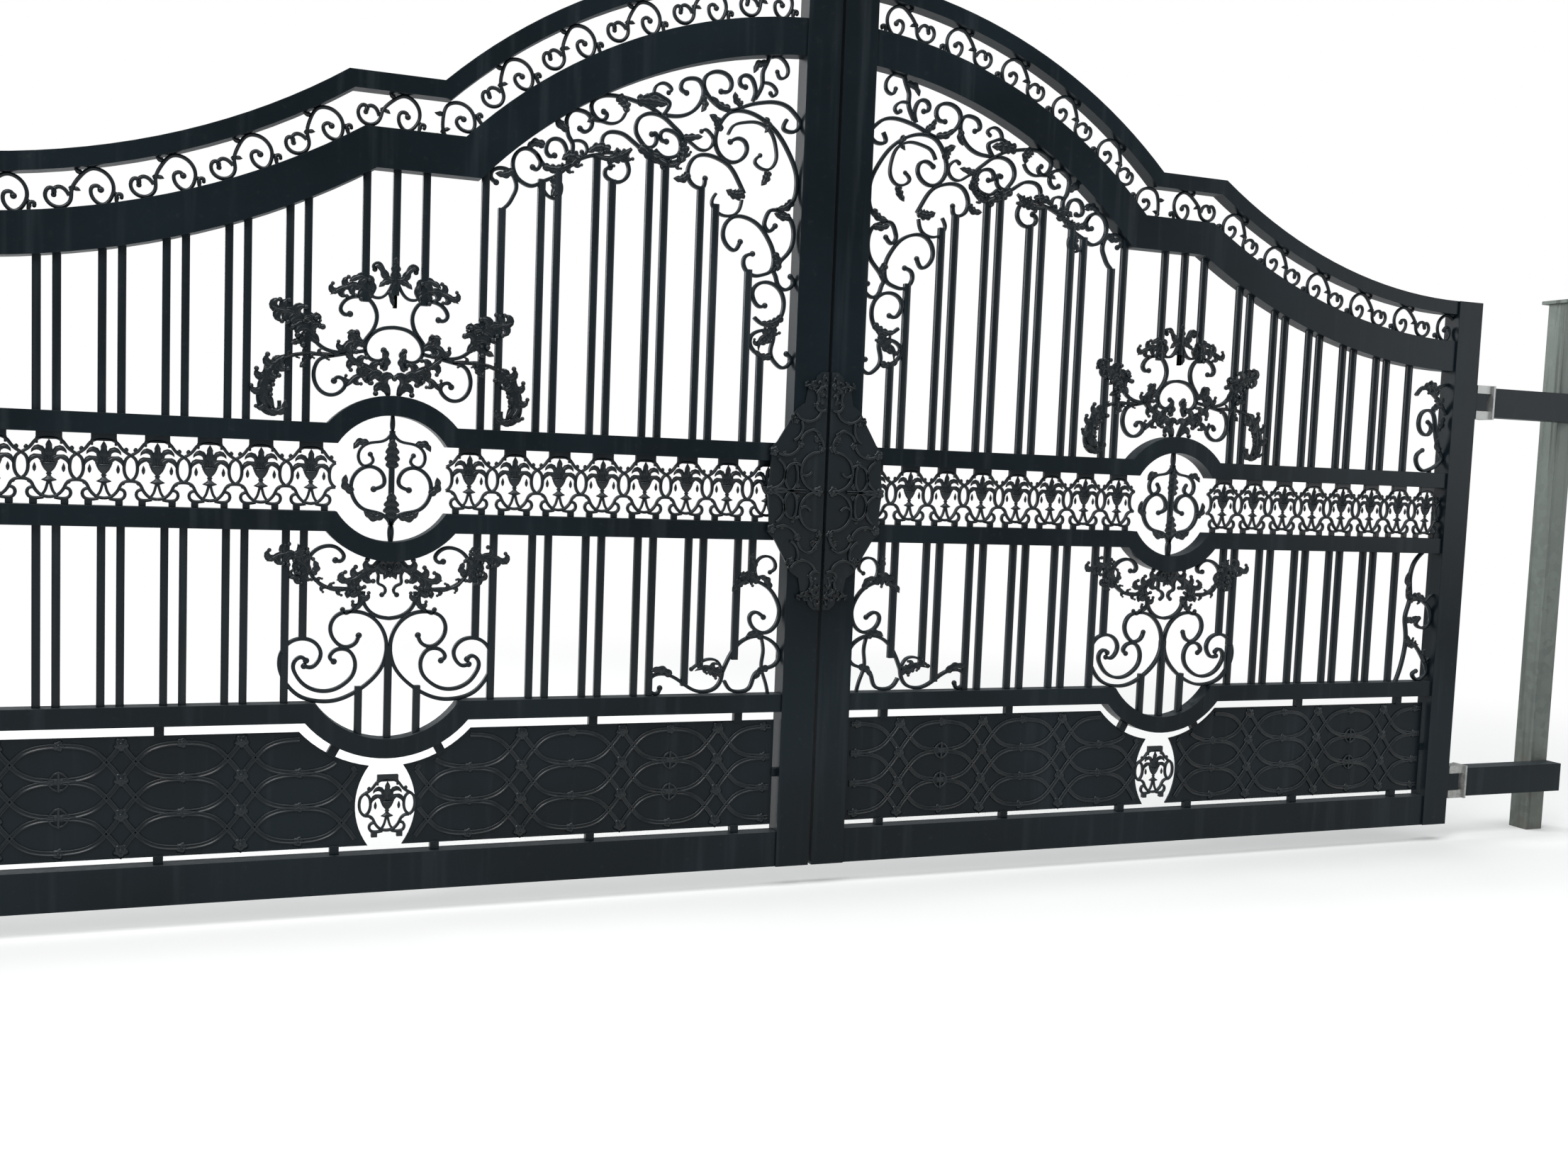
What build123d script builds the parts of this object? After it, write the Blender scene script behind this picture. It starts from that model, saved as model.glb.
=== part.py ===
from build123d import *
import math
import os

# Wrought iron driveway gate: two leaves hung on square posts. Millimetres, +Z up, +X from the left post
# to the right one, the street side towards -Y. The origin is the centre of the left post's foot.
# A leaf is drawn in its own frame, u from its meeting edge, z from its lower edge and y back from its
# front face. The right leaf is placed as drawn and the left one is its mirror image.

# Leaf frame
leaf_w = 2426.0          # meeting edge to hinge edge
seam_gap = 10.0          # between the closed leaves
ground_gap = 60.0        # under the leaves
stile_w = 102.0
stile_d = 64.0
rail_h = 51.0
rail_d = 51.0
bottom_rail_h = 102.0
lower_rail_z = 455.0     # undersides of the rails
lower_mid_z = 952.0
upper_mid_z = 1178.0
arch_h = 102.0
crown_h = 45.0
crown_gap = 91.0         # between the arched rail and the crown rail

# Medallion opening, and the dip in the lower rail
ring_r = 164.0
dip_r = 222.0
dip_depth = 98.0         # from the top of the lower rail to the bottom of the dip

# Arched rails: a convex arc centred on the meeting edge, a level shoulder and a hollow sweep
arch_centre_z = 951.0
arch_r = 1365.0
shoulder_z = 1880.0
sweep_r = 1993.0
sweep_end_z = 1577.0     # underside of the arched rail where it meets the hinge stile

# Square bars
bar_w = 19.0
bar_step = 44.0          # between the two bars of a pair
inner_first = 249.0      # from the leaf's centre line to the first pair on the meeting side
inner_pitch = 148.5
outer_first = 239.0
outer_pitch = 144.0
centre_step = 75.0
single_room = 150.0      # room for the last single bar and its scrolls beside the hinge stile
seat = 0.3               # clearance on curved seats

# Scroll iron
scroll_w = 9.0
scroll_d = 16.0
fine_w = 7.0
fine_d = 12.0
stem_w = 14.0
curve_step = 50.0        # turn of each short straight of a scroll, in degrees
lower_drawn = 446.0      # height of the lower opening for which its scrolls are drawn
ring_drawn = 215.0       # outer radius of the medallion for which its scrolls are drawn
arch_drawn = 1365.0      # radius of the arch for which the corner scrolls are drawn
corner_shift = 7.0       # the corner scrolls sit this much nearer the meeting stile than drawn
side_drawn = 348.0       # height beside the hinge stile for which its scrolls are drawn
side_shift = 19.0        # these scrolls sit this much nearer the hinge stile than drawn
crest_reach = 50.0       # from the medallion to where the corner scrolls begin

# Frieze castings
urn_pitch = 128.0
urn_first = 178.0        # leaf's centre line to the first vase
urn_d = 14.0
vase_half = 26.0
crown_pitch = 198.5
crown_first = 184.0      # along the rail, from the meeting edge to the first scroll
crown_lead = 14.0        # from the middle of a scroll's round to the point it is drawn about
hollow_pitch = 191.0     # over the hollow sweep
crown_drawn = 91.0       # height for which the crown frieze's scrolls are drawn

# Bottom panel
sheet_t = 6.0
panel_side_gap = 12.0
panel_top_gap = 26.0
panel_bottom_gap = 19.0
spacer_w = 24.0
spacer_d = 20.0
spacer_first = 130.0
spacer_pitch = 428.0
spacer_grip = 3.0        # of a spacer behind the edge of a sheet
opening_r = 185.0        # sides of the pointed oval opening
opening_half = 78.0
opening_z = 228.0
vase_d = 14.0
vase_h = 150.0

# Lock plate
lock_z = 1095.0
lock_t = 14.0
lock_half = 172.0        # meeting edge to the plate's side
lock_half_h = 345.0      # the plate's middle to its tips

# Hinges and posts
pin_offset = 36.0        # hinge stile's face to the pin's axis
pin_r = 11.0
pin_play = 0.3
eye_half = 22.0
eye_h = 58.0
eye_play = 1.0
lug_t = 28.0
flange_t = 8.0
arm_start = 42.0         # pin's axis to the flange
arm_h = 100.0
upper_hinge_z = 1479.0
lower_hinge_z = 146.0
post_reach = 420.0       # pin's axis to the near face of the post
post_w = 76.0
post_h = 1915.0
cap_w = 110.0
cap_t = 12.0

centre_u = leaf_w / 2
u_in = stile_w
u_out = leaf_w - stile_w
rail_y = (stile_d - rail_d) / 2
mid_y = stile_d / 2
lower_rail_top = lower_rail_z + rail_h
lower_mid_top = lower_mid_z + rail_h
upper_mid_top = upper_mid_z + rail_h
ring_z = (lower_mid_z + upper_mid_top) / 2
ring_out = ring_r + rail_h
dip_z = lower_rail_top - dip_depth + dip_r
dip_out = dip_r + rail_h
sweep_z = sweep_end_z + sweep_r
crown_off = arch_h + crown_gap
top_off = crown_off + crown_h
pin_u = leaf_w + pin_offset
post_u = pin_u + post_reach + post_w / 2
post_y = stile_d + post_w / 2
seam_x = post_u + seam_gap / 2


def sheet(face, depth, y0=None):
    """The flat outline drawn in u and z, given its depth; centred in the leaf unless y0 is given."""
    start = mid_y - depth / 2 if y0 is None else y0
    return extrude(Plane.XZ.offset(-start) * face, amount=-depth)


def rect(u0, u1, z0, z1):
    return Pos((u0 + u1) / 2, (z0 + z1) / 2) * Rectangle(u1 - u0, z1 - z0)


def disc(u, z, r):
    return Pos(u, z) * Circle(r)


# Arched rails

def arch_points(off):
    """Corners of the arched line at a given offset above the underside of the arched rail."""
    r1 = arch_r + off
    r2 = sweep_r - off
    level = shoulder_z + off
    start = math.sqrt(r1 ** 2 - u_in ** 2) + arch_centre_z
    corner1 = math.sqrt(r1 ** 2 - (level - arch_centre_z) ** 2)
    corner2 = u_out - math.sqrt(r2 ** 2 - (sweep_z - level) ** 2)
    return start, corner1, corner2, level, r1, r2


def arch_line(off):
    start, corner1, corner2, level, r1, r2 = arch_points(off)
    half = (math.asin(u_in / r1) + math.asin(corner1 / r1)) / 2
    mid1 = (r1 * math.sin(half), arch_centre_z + r1 * math.cos(half))
    turn = math.asin((u_out - corner2) / r2) / 2
    mid2 = (u_out - r2 * math.sin(turn), sweep_z - r2 * math.cos(turn))
    convex = ThreePointArc((u_in, start), mid1, (corner1, level))
    flat = Line((corner1, level), (corner2, level))
    hollow = ThreePointArc((corner2, level), mid2, (u_out, sweep_end_z + off))
    return [convex, flat, hollow]


def arch_band(low, high):
    bottom = arch_line(low)
    top = arch_line(high)
    ends = [Line(bottom[0] @ 0, top[0] @ 0), Line(bottom[2] @ 1, top[2] @ 1)]
    return make_face(Wire(bottom + top + ends))


# Straight rails, two of them bowed round the medallion

def bowed(z0, zc, r, up):
    """A rail that bows in a ring round (centre_u, zc), above it or below it."""
    bar = rect(u_in, u_out, z0, z0 + rail_h)
    ring = disc(centre_u, zc, r + rail_h)
    reach = r + rail_h + 1
    if up:
        ring -= rect(centre_u - reach, centre_u + reach, zc - reach, z0)
    else:
        ring -= rect(centre_u - reach, centre_u + reach, z0 + rail_h, zc + reach)
    return bar + ring - disc(centre_u, zc, r)


# Openings that the scrolls and bars fill

def lower_opening():
    field = rect(u_in, u_out, lower_rail_top, lower_mid_z)
    bowl = disc(centre_u, dip_z, dip_r - seat)
    bowl &= rect(centre_u - dip_r, centre_u + dip_r, dip_z - dip_r, lower_rail_top)
    return field + bowl - disc(centre_u, ring_z, ring_out + seat)


def upper_opening():
    top = arch_line(-seat)
    edge = [
        Line(top[0] @ 0, (u_in, upper_mid_top)),
        Line((u_in, upper_mid_top), (u_out, upper_mid_top)),
        Line((u_out, upper_mid_top), top[2] @ 1),
    ]
    return make_face(Wire(top + edge)) - disc(centre_u, ring_z, ring_out + seat)


def crown_opening():
    bottom = arch_line(arch_h + seat)
    top = arch_line(crown_off - seat)
    ends = [Line(bottom[0] @ 0, top[0] @ 0), Line(bottom[2] @ 1, top[2] @ 1)]
    return make_face(Wire(bottom + top + ends))


# Scrolls

def smooth(points):
    """Points about every 3 mm along a spline through the given ones."""
    curve = Spline(*points)
    n = max(8, int(curve.length / 3))
    return [(p.X, p.Y) for p in (curve.position_at(i / n) for i in range(n + 1))]


def thin(points):
    """Keep the points where the line has turned by curve_step since the last one kept."""
    kept = [points[0]]
    turned = 0.0
    last = math.atan2(points[1][1] - points[0][1], points[1][0] - points[0][0])
    for a, b in zip(points[1:], points[2:]):
        h = math.atan2(b[1] - a[1], b[0] - a[0])
        d = math.remainder(h - last, math.tau)
        turned += abs(d)
        last = h
        if turned >= math.radians(curve_step):
            kept.append(a)
            turned = 0.0
    kept.append(points[-1])
    return kept


def band(points, w):
    """The outline of a flat iron of width w along the points."""
    left = []
    right = []
    for i, p in enumerate(points):
        a = points[max(0, i - 1)]
        b = points[min(len(points) - 1, i + 1)]
        h1 = math.atan2(p[1] - a[1], p[0] - a[0]) if i else math.atan2(b[1] - p[1], b[0] - p[0])
        h2 = math.atan2(b[1] - p[1], b[0] - p[0]) if i < len(points) - 1 else h1
        bend = math.remainder(h2 - h1, math.tau) / 2
        h = h1 + bend
        half = w / 2 / max(0.6, math.cos(bend))
        left.append((p[0] - half * math.sin(h), p[1] + half * math.cos(h)))
        right.append((p[0] + half * math.sin(h), p[1] - half * math.cos(h)))
    return make_face(Polyline(*left, *reversed(right), close=True))


def scroll(points, k, w=scroll_w):
    """An iron of width w along a spline, drawn k times the size of the given points."""
    line = smooth([(k * u, k * z) for u, z in points])
    return band(thin(line), w)


def merge(shapes):
    whole = shapes[0]
    for s in shapes[1:]:
        whole += s
    return whole


def placed(shapes, u, z, mirrored=False):
    """Shapes drawn about (0, 0), moved to (u, z), with their mirror images about the upright through u."""
    out = [Pos(u, z) * s for s in shapes]
    if mirrored:
        out += [Pos(u, z) * mirror(s, about=Plane.YZ) for s in shapes]
    return out


def pendant():
    """Scrolls that hang between the medallion and the dip, one side drawn."""
    k = (lower_mid_z - lower_rail_top) / lower_drawn
    big = scroll([(76, 174), (84, 155), (110, 144), (135, 159), (148, 194), (135, 224),
                  (95, 237), (55, 229), (25, 204), (7, 164), (5, 134), (15, 94), (45, 54), (85, 24),
                  (135, 6), (175, 4), (225, 19), (255, 50), (271, 94), (265, 134), (245, 159),
                  (210, 166), (180, 154), (167, 129), (173, 106), (190, 94), (210, 99)], k)
    inner = scroll([(135, 109), (150, 124), (135, 139), (110, 142), (90, 134), (80, 109), (85, 79),
                    (110, 49), (145, 34), (185, 34), (225, 54), (250, 89)], k, fine_w)
    swag = scroll([(75, 284), (70, 259), (50, 234), (0, 219)], k)
    side = scroll([(55, 330), (95, 300), (150, 310), (195, 330), (207, 365), (190, 395), (160, 398),
                   (135, 380), (135, 350), (155, 335)], k, fine_w)
    hook = scroll([(75, 284), (95, 292), (110, 310), (105, 330)], k, fine_w)
    stem = rect(-stem_w / 2, stem_w / 2, k * 214, k * 380)
    return placed([big, inner, swag, side, hook], centre_u, lower_rail_top, True) + placed(
        [stem], centre_u, lower_rail_top)


def crest():
    """Scrolls that stand on the medallion, one side drawn."""
    k = ring_out / ring_drawn
    arch = scroll([(0, 180), (20, 175), (50, 160), (75, 135), (70, 112), (50, 105), (33, 107)], k)
    stem = scroll([(0, -5), (0, 60), (25, 95), (75, 112), (105, 135)], k)
    upper = scroll([(120, 110), (100, 135), (75, 160), (62, 195), (65, 230), (90, 253), (125, 250),
                    (145, 225), (135, 203), (120, 200)], k)
    arm = scroll([(100, 98), (160, 103), (190, 115), (210, 145), (230, 185), (262, 200)], k)
    low = scroll([(120, 105), (190, 90), (208, 45), (195, 5), (160, -15), (135, 0), (135, 22),
                  (155, 30)], k, fine_w)
    leaf = scroll([(190, 92), (240, 85), (280, 65), (320, 50), (345, 20), (330, -20), (305, -45)], k)
    lily = scroll([(0, 250), (25, 270), (45, 300), (35, 330), (15, 325)], k, fine_w)
    crown = scroll([(0, 180), (0, 250), (0, 345)], k)
    side = [arch, stem, upper, arm, low, leaf, lily, crown]
    return placed(side, centre_u, ring_z + ring_out, True)


def corner_top():
    """Scrolls that fill the corner between the meeting stile and the arched rail."""
    k = arch_r / arch_drawn
    outer = scroll([(216, -261), (193, -249), (173, -256), (166, -276), (183, -306), (208, -316),
                    (238, -306), (258, -276), (248, -216), (218, -181), (178, -173), (128, -186),
                    (78, -221), (38, -276), (16, -326), (13, -366), (23, -406), (48, -426), (73, -432)], k)
    inner = scroll([(223, -241), (208, -216), (178, -204), (134, -200), (96, -222), (80, -262),
                    (78, -296), (88, -316), (108, -326), (141, -306), (126, -288)], k, fine_w)
    top = scroll([(50, -181), (58, -208), (38, -214), (18, -206), (10, -186), (23, -166), (48, -146),
                  (88, -138), (128, -144), (168, -156), (228, -176), (258, -166), (283, -146),
                  (298, -121), (295, -96), (278, -81), (248, -76), (228, -84), (218, -106),
                  (228, -126), (248, -128)], k)
    left = scroll([(403, -211), (368, -209), (328, -191), (303, -156), (300, -126), (313, -106),
                   (338, -104), (360, -116), (363, -136), (348, -144)], k)
    stem = scroll([(147, -136), (135, -115), (127, -89), (127, -61), (120, -44), (109, -15)], k)
    curl = scroll([(154, -142), (147, -119), (150, -99), (164, -78), (184, -77), (194, -89),
                   (189, -105), (177, -107)], k)
    round_one = scroll([(443, -266), (434, -262), (429, -276), (436, -296), (456, -303), (471, -291),
                        (488, -262), (481, -230), (446, -211), (409, -218), (382, -238), (361, -256),
                        (354, -266)], k)
    round_two = scroll([(401, -281), (414, -279), (419, -266), (409, -252), (389, -251), (368, -262),
                        (359, -286), (364, -309), (382, -321), (409, -323), (433, -306)], k)
    under = scroll([(572, -325), (581, -306), (579, -289), (566, -276), (545, -272), (521, -276),
                    (501, -288), (478, -304), (457, -318), (439, -325), (409, -334), (382, -334),
                    (358, -319), (351, -296), (354, -266)], k)
    link = scroll([(354, -266), (327, -279), (307, -291), (286, -291), (269, -276), (266, -259),
                   (276, -244), (291, -236), (301, -242)], k, fine_w)
    mid = scroll([(286, -368), (293, -394), (318, -391), (336, -366), (333, -336), (313, -311),
                  (283, -304), (248, -311), (218, -326), (188, -366), (170, -398)], k)
    loop = scroll([(253, -406), (264, -431), (248, -456), (218, -464), (188, -451), (176, -416)], k, fine_w)
    low = scroll([(73, -478), (93, -494), (105, -481), (103, -461), (88, -436), (63, -436), (28, -456),
                  (16, -496), (28, -546), (58, -581), (73, -606)], k)
    curve = scroll([(176, -531), (193, -556), (218, -541), (228, -511), (218, -481), (193, -463),
                    (158, -464), (123, -481), (93, -516), (76, -551), (73, -576), (83, -606),
                    (103, -616), (133, -621), (163, -596), (160, -571), (138, -561)], k)
    knot = scroll([(95, -702), (111, -706), (129, -689), (133, -663), (115, -642),
                   (86, -637), (62, -646), (41, -674), (38, -702), (48, -734), (73, -754), (100, -754),
                   (126, -737)], k)
    tie = scroll([(73, -606), (66, -618), (59, -639), (41, -653), (20, -646), (11, -629), (21, -615)], k)
    drop = scroll([(73, -754), (66, -793), (73, -828), (69, -846), (55, -863), (38, -873), (16, -863),
                   (11, -846), (24, -833)], k)
    fork = scroll([(66, -770), (112, -775), (133, -790), (136, -811), (122, -832), (93, -844),
                   (69, -846)], k)
    back = scroll([(663, -364), (632, -350), (612, -342), (592, -337), (569, -329), (540, -330),
                   (521, -337), (508, -354), (505, -374), (515, -394), (535, -404), (556, -400),
                   (569, -390), (569, -374), (557, -367)], k)
    rise = scroll([(663, -364), (662, -340), (663, -313), (672, -299), (678, -279), (680, -256),
                   (673, -239), (660, -228), (640, -227), (622, -233), (612, -246), (611, -263),
                   (619, -276), (632, -281), (643, -274)], k)
    branch = scroll([(579, -222), (571, -227), (574, -241), (589, -246), (602, -238), (612, -222),
                     (612, -205), (602, -192), (582, -181), (538, -177), (511, -180), (485, -185),
                     (450, -195), (420, -211)], k)
    bulb = scroll([(485, -185), (471, -172), (450, -162), (439, -158), (415, -165), (396, -177),
                   (402, -197), (412, -211)], k)
    end = scroll([(663, -364), (675, -347), (680, -328), (690, -313), (707, -308), (723, -314),
                  (732, -330), (732, -345), (723, -355), (710, -352)], k)
    arm = scroll([(758, -354), (749, -367), (738, -380), (720, -389), (697, -384), (677, -374),
                  (663, -364)], k)
    ring = scroll([(768, -389), (758, -394), (749, -384), (748, -370), (758, -354), (773, -344),
                   (788, -342), (804, -349), (816, -364), (821, -384), (818, -404), (808, -421),
                   (791, -433), (771, -438), (739, -423), (713, -410), (688, -392), (663, -364)], k)
    last = scroll([(864, -438), (877, -428), (877, -414), (867, -404), (849, -400), (827, -407),
                   (813, -428), (811, -451), (819, -471), (830, -491), (844, -505)], k)
    shapes = [outer, inner, top, left, stem, curl, round_one, round_two, under, link, mid, loop, low,
              curve, knot, tie, drop, fork, back, rise, branch, bulb, end, arm, ring, last]
    return placed(shapes, u_in - corner_shift, arch_centre_z + arch_r)


def corner_low():
    """Scrolls in the corner between the lower rail and the meeting stile."""
    k = (lower_mid_z - lower_rail_top) / lower_drawn
    swell = scroll([(368, 21), (376, 6), (395, 12), (404, 34), (393, 54), (368, 62), (338, 56),
                    (308, 39), (278, 19), (248, 9), (233, 9), (203, 19), (188, 39), (183, 64)], k)
    leaf = scroll([(183, 64), (203, 98), (238, 99), (263, 84), (276, 74)], k, fine_w)
    big = scroll([(183, 64), (160, 114), (138, 144), (103, 164), (68, 166), (38, 154), (16, 132),
                  (10, 109), (23, 84), (48, 74), (83, 56), (100, 16), (128, 7), (158, 14), (176, 39)], k)
    stile = scroll([(63, 222), (93, 236), (103, 229), (96, 194), (78, 181), (58, 177), (33, 189),
                    (18, 214), (15, 244), (23, 269), (48, 304), (83, 324), (123, 330), (145, 320)], k)
    loop = scroll([(83, 329), (93, 349), (93, 374), (78, 394), (53, 397), (36, 384), (33, 364),
                   (48, 352)], k, fine_w)
    foot = scroll([(68, 166), (60, 120), (64, 80), (50, 34), (40, -5)], k, fine_w)
    return placed([swell, leaf, big, stile, loop, foot], u_in - corner_shift, lower_rail_top)


def hinge_side_low():
    """Scrolls beside the hinge stile under the middle rail."""
    k = (lower_mid_z - lower_rail_top) / lower_drawn
    back = scroll([(-74, 450), (-109, 414), (-121, 384), (-124, 344), (-119, 284), (-134, 224),
                   (-129, 184), (-124, 144), (-129, 94), (-144, 34), (-159, -5)], k)
    eye = scroll([(-124, 344), (-119, 284), (-84, 284), (-54, 274), (-29, 249), (-24, 214), (-39, 189),
                  (-64, 186), (-84, 199), (-72, 219)], k)
    foot = scroll([(-124, 144), (-90, 130), (-54, 94), (-34, 64), (-24, 34), (-44, 9), (-69, 6),
                   (-84, 24), (-69, 34)], k)
    tie = scroll([(-54, 274), (-25, 300), (5, 310)], k, fine_w)
    root = scroll([(-34, 64), (-15, 80), (5, 84)], k, fine_w)
    return placed([back, eye, foot, tie, root], u_out + side_shift, lower_rail_top)


def hinge_side_high():
    """Scrolls beside the hinge stile over the middle rail."""
    k = (sweep_end_z - upper_mid_top) / side_drawn
    foot = scroll([(-34, 71), (-24, 51), (-44, 26), (-74, 11), (-104, 6), (-130, 25), (-134, 56),
                   (-110, 75)], k)
    eye = scroll([(-34, 71), (-50, 110), (-60, 150), (-85, 210), (-120, 205), (-135, 170),
                  (-120, 135), (-90, 130), (-78, 155), (-95, 172)], k)
    leaf = scroll([(-154, 261), (-119, 290), (-84, 271), (-40, 230), (-14, 201), (5, 201)], k)
    tie = scroll([(-84, 271), (-50, 295), (5, 306)], k)
    base = scroll([(-74, 11), (-74, -5)], k)
    return placed([foot, eye, leaf, tie, base], u_out + side_shift, upper_mid_top)


def medallion():
    """A pair of mirrored scrolls that fills the medallion."""
    k = ring_out / ring_drawn
    lyre = scroll([(0, -167), (0, -120), (20, -95), (70, -80), (100, -40), (95, 5), (60, 30),
                   (25, 15), (20, -15), (45, -28)], k)
    upper = scroll([(0, 167), (0, 125), (18, 100), (60, 90), (85, 60), (70, 32), (48, 45), (55, 62)],
                   k, fine_w)
    stem = rect(-stem_w / 2, stem_w / 2, -k * 120, k * 125)
    return placed([lyre, upper], centre_u, ring_z, True) + placed([stem], centre_u, ring_z)


# Bars

def bar_places():
    """Middle of each bar: three on the centre line, pairs out to the stiles and one last single bar."""
    places = [centre_u - centre_step, centre_u, centre_u + centre_step]
    half = bar_step / 2
    pair = centre_u - inner_first
    while pair - half - bar_w > u_in:
        places += [pair - half, pair + half]
        pair -= inner_pitch
    pair = centre_u + outer_first
    while pair + half + bar_w + single_room < u_out:
        places += [pair - half, pair + half]
        pair += outer_pitch
    places.append(pair - half)
    return places


def rails_end(faces, keep):
    """The lowest and, where asked, the highest of the pieces that the scrolls leave of a bar."""
    faces = sorted(faces, key=lambda f: f.center().Y)
    if keep == "low":
        return faces[:1]
    if keep == "high":
        return faces[-1:]
    return faces if len(faces) < 2 else [faces[0], faces[-1]]


def coped(opening, scrolls, keep):
    """The bars that cross an opening, cut to the scrolls."""
    box = opening.bounding_box()
    out = []
    for u in bar_places():
        bar = rect(u - bar_w / 2, u + bar_w / 2, box.min.Y, box.max.Y) & opening
        out += rails_end((bar - scrolls).faces(), keep(u))
    return out


# Castings

def hoop(u, z, a, b, w, sides=6):
    """A flat oval loop with half axes a and b."""
    ring = [(a * math.cos(math.tau * k / sides), b * math.sin(math.tau * k / sides)) for k in range(sides)]
    hole = [(x * (a - w) / a, y * (b - w) / b) for x, y in ring]
    return Pos(u, z) * (make_face(Polyline(*ring, close=True)) - make_face(Polyline(*hole, close=True)))


def vase_outline(h, foot, belly, lip):
    """The silhouette of a vase on its foot, h high, about its own centre line."""
    half = [(foot, 0), (0.3 * foot, 0.34 * h), (belly, 0.6 * h), (lip, h)]
    return make_face(Polyline(*half, *[(-u, z) for u, z in reversed(half)], close=True))


def urn_frieze():
    """Vases in a row between the middle rails, with an oval link between each two."""
    h = upper_mid_z - lower_mid_top
    vases = []
    links = []
    reach = urn_first
    while reach + vase_half < centre_u - u_in:
        for side in (-1, 1):
            u = centre_u + side * reach
            vases.append(Pos(u, lower_mid_top) * vase_outline(h, 0.8 * vase_half, 0.75 * vase_half, vase_half))
            if reach > urn_first:
                mid = u - side * urn_pitch / 2
                links.append(hoop(mid, lower_mid_top + 0.56 * h, urn_pitch / 2 - 0.6 * vase_half, 0.22 * h, fine_w))
        reach += urn_pitch
    return (merge(vases + links)).faces()


def crown_frieze():
    """Scrolls in a row between the arched rail and the crown rail, stepped off along the rail."""
    k = crown_gap / crown_drawn
    corners = [(-11, -6), (9, -12), (-4, -44), (-38, -22), (-38, 18), (-8, 45), (28, 26), (58, -26),
               (80, -44), (102, -16), (84, -2)]
    unit = band([(k * u, k * z) for u, z in corners], fine_w)
    start, corner1, corner2, level, r1, r2 = arch_points(arch_h + crown_gap / 2)
    swing = r1 * math.asin(corner1 / r1)
    hollow = r2 * math.asin((u_out - corner2) / r2)
    out = [Pos((corner1 + corner2) / 2 + crown_lead, level) * unit]
    place = crown_first
    while place < swing + crown_lead:
        a = place / r1
        spot = Pos(r1 * math.sin(a), arch_centre_z + r1 * math.cos(a)) * Rot(0, 0, -math.degrees(a))
        out.append(spot * unit)
        place += crown_pitch
    place = hollow_pitch / 2
    while place < hollow:
        a = (hollow - place) / r2
        spot = Pos(u_out - r2 * math.sin(a), sweep_z - r2 * math.cos(a)) * Rot(0, 0, -math.degrees(a))
        out.append(spot * unit)
        place += hollow_pitch
    return (merge(out) & crown_opening()).faces()


# Bottom panel

def panel():
    """Two sheets with a pointed oval between them, and the blocks that carry them."""
    low = bottom_rail_h + panel_bottom_gap
    high = lower_rail_z - panel_top_gap
    field = rect(u_in + panel_side_gap, u_out - panel_side_gap, low, high)
    field -= disc(centre_u, dip_z, dip_out + panel_top_gap)
    oval = disc(centre_u - (opening_r - opening_half), opening_z, opening_r)
    oval &= disc(centre_u + (opening_r - opening_half), opening_z, opening_r)
    halves = field - oval
    sheets = [sheet(f, sheet_t) for f in halves.faces()]
    blocks = []
    for side in (-1, 1):
        for k in range(3):
            u = centre_u + side * (spacer_first + k * spacer_pitch)
            blocks.append(rect(u - spacer_w / 2, u + spacer_w / 2, bottom_rail_h, low + spacer_grip))
            if k:
                blocks.append(rect(u - spacer_w / 2, u + spacer_w / 2, high - spacer_grip, lower_rail_z))
        edge = centre_u + side * (centre_u - u_in)
        reach = edge - side * (panel_side_gap + spacer_grip)
        z = (low + high) / 2
        blocks.append(rect(min(edge, reach), max(edge, reach), z - spacer_w / 2, z + spacer_w / 2))
        strut = rect(-spacer_w / 2, spacer_w / 2, -dip_out - panel_top_gap - spacer_grip, -dip_out - seat)
        turn = side * math.degrees(math.asin(spacer_first / dip_out))
        blocks.append(Pos(centre_u, dip_z) * Rot(0, 0, turn) * strut)
    solids = merge(sheets + [sheet(b, spacer_d) for b in blocks])
    return solids, oval


def panel_vase(oval):
    """The casting in the oval opening, a vase between two loops that reach the sheets."""
    foot = opening_z - 0.44 * vase_h
    shape = Pos(centre_u, foot) * vase_outline(vase_h, 0.9 * vase_half, 0.7 * vase_half, 0.6 * vase_half)
    loop_u = 0.6 * opening_half
    loops = [hoop(centre_u + side * loop_u, opening_z, opening_half - loop_u + 4, 0.36 * vase_h, fine_w)
             for side in (-1, 1)]
    return (merge([shape] + loops) & oval).faces()


# Lock plate

def lock_plate():
    """Half of the plate that covers the meeting stiles, the same above and below its middle."""
    w = lock_half
    edge = [(w + 16, 6), (w, 20), (w - 4, 60), (w - 6, 104), (w + 2, 116), (w - 22, 138),
            (stile_w + 4, 215), (stile_w - 8, 240), (0.68 * stile_w, 252), (0.62 * stile_w, 290),
            (0.42 * stile_w, 304), (0.36 * stile_w, 330), (0.2 * stile_w, lock_half_h), (0, lock_half_h)]
    low = [(u, -z) for u, z in reversed(edge)]
    return sheet(Pos(0, lock_z) * make_face(Polyline(*low, *edge, close=True)), lock_t, -lock_t)


# Hinges and posts

def eye_blocks():
    """The bored blocks that the pins pass through."""
    out = []
    block = rect(leaf_w, pin_u + eye_half, mid_y - eye_half, mid_y + eye_half)
    block -= disc(pin_u, mid_y, pin_r + pin_play)
    for z in (lower_hinge_z, upper_hinge_z):
        out.append(Pos(0, 0, z - eye_h / 2) * extrude(block, amount=eye_h))
    return out


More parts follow.
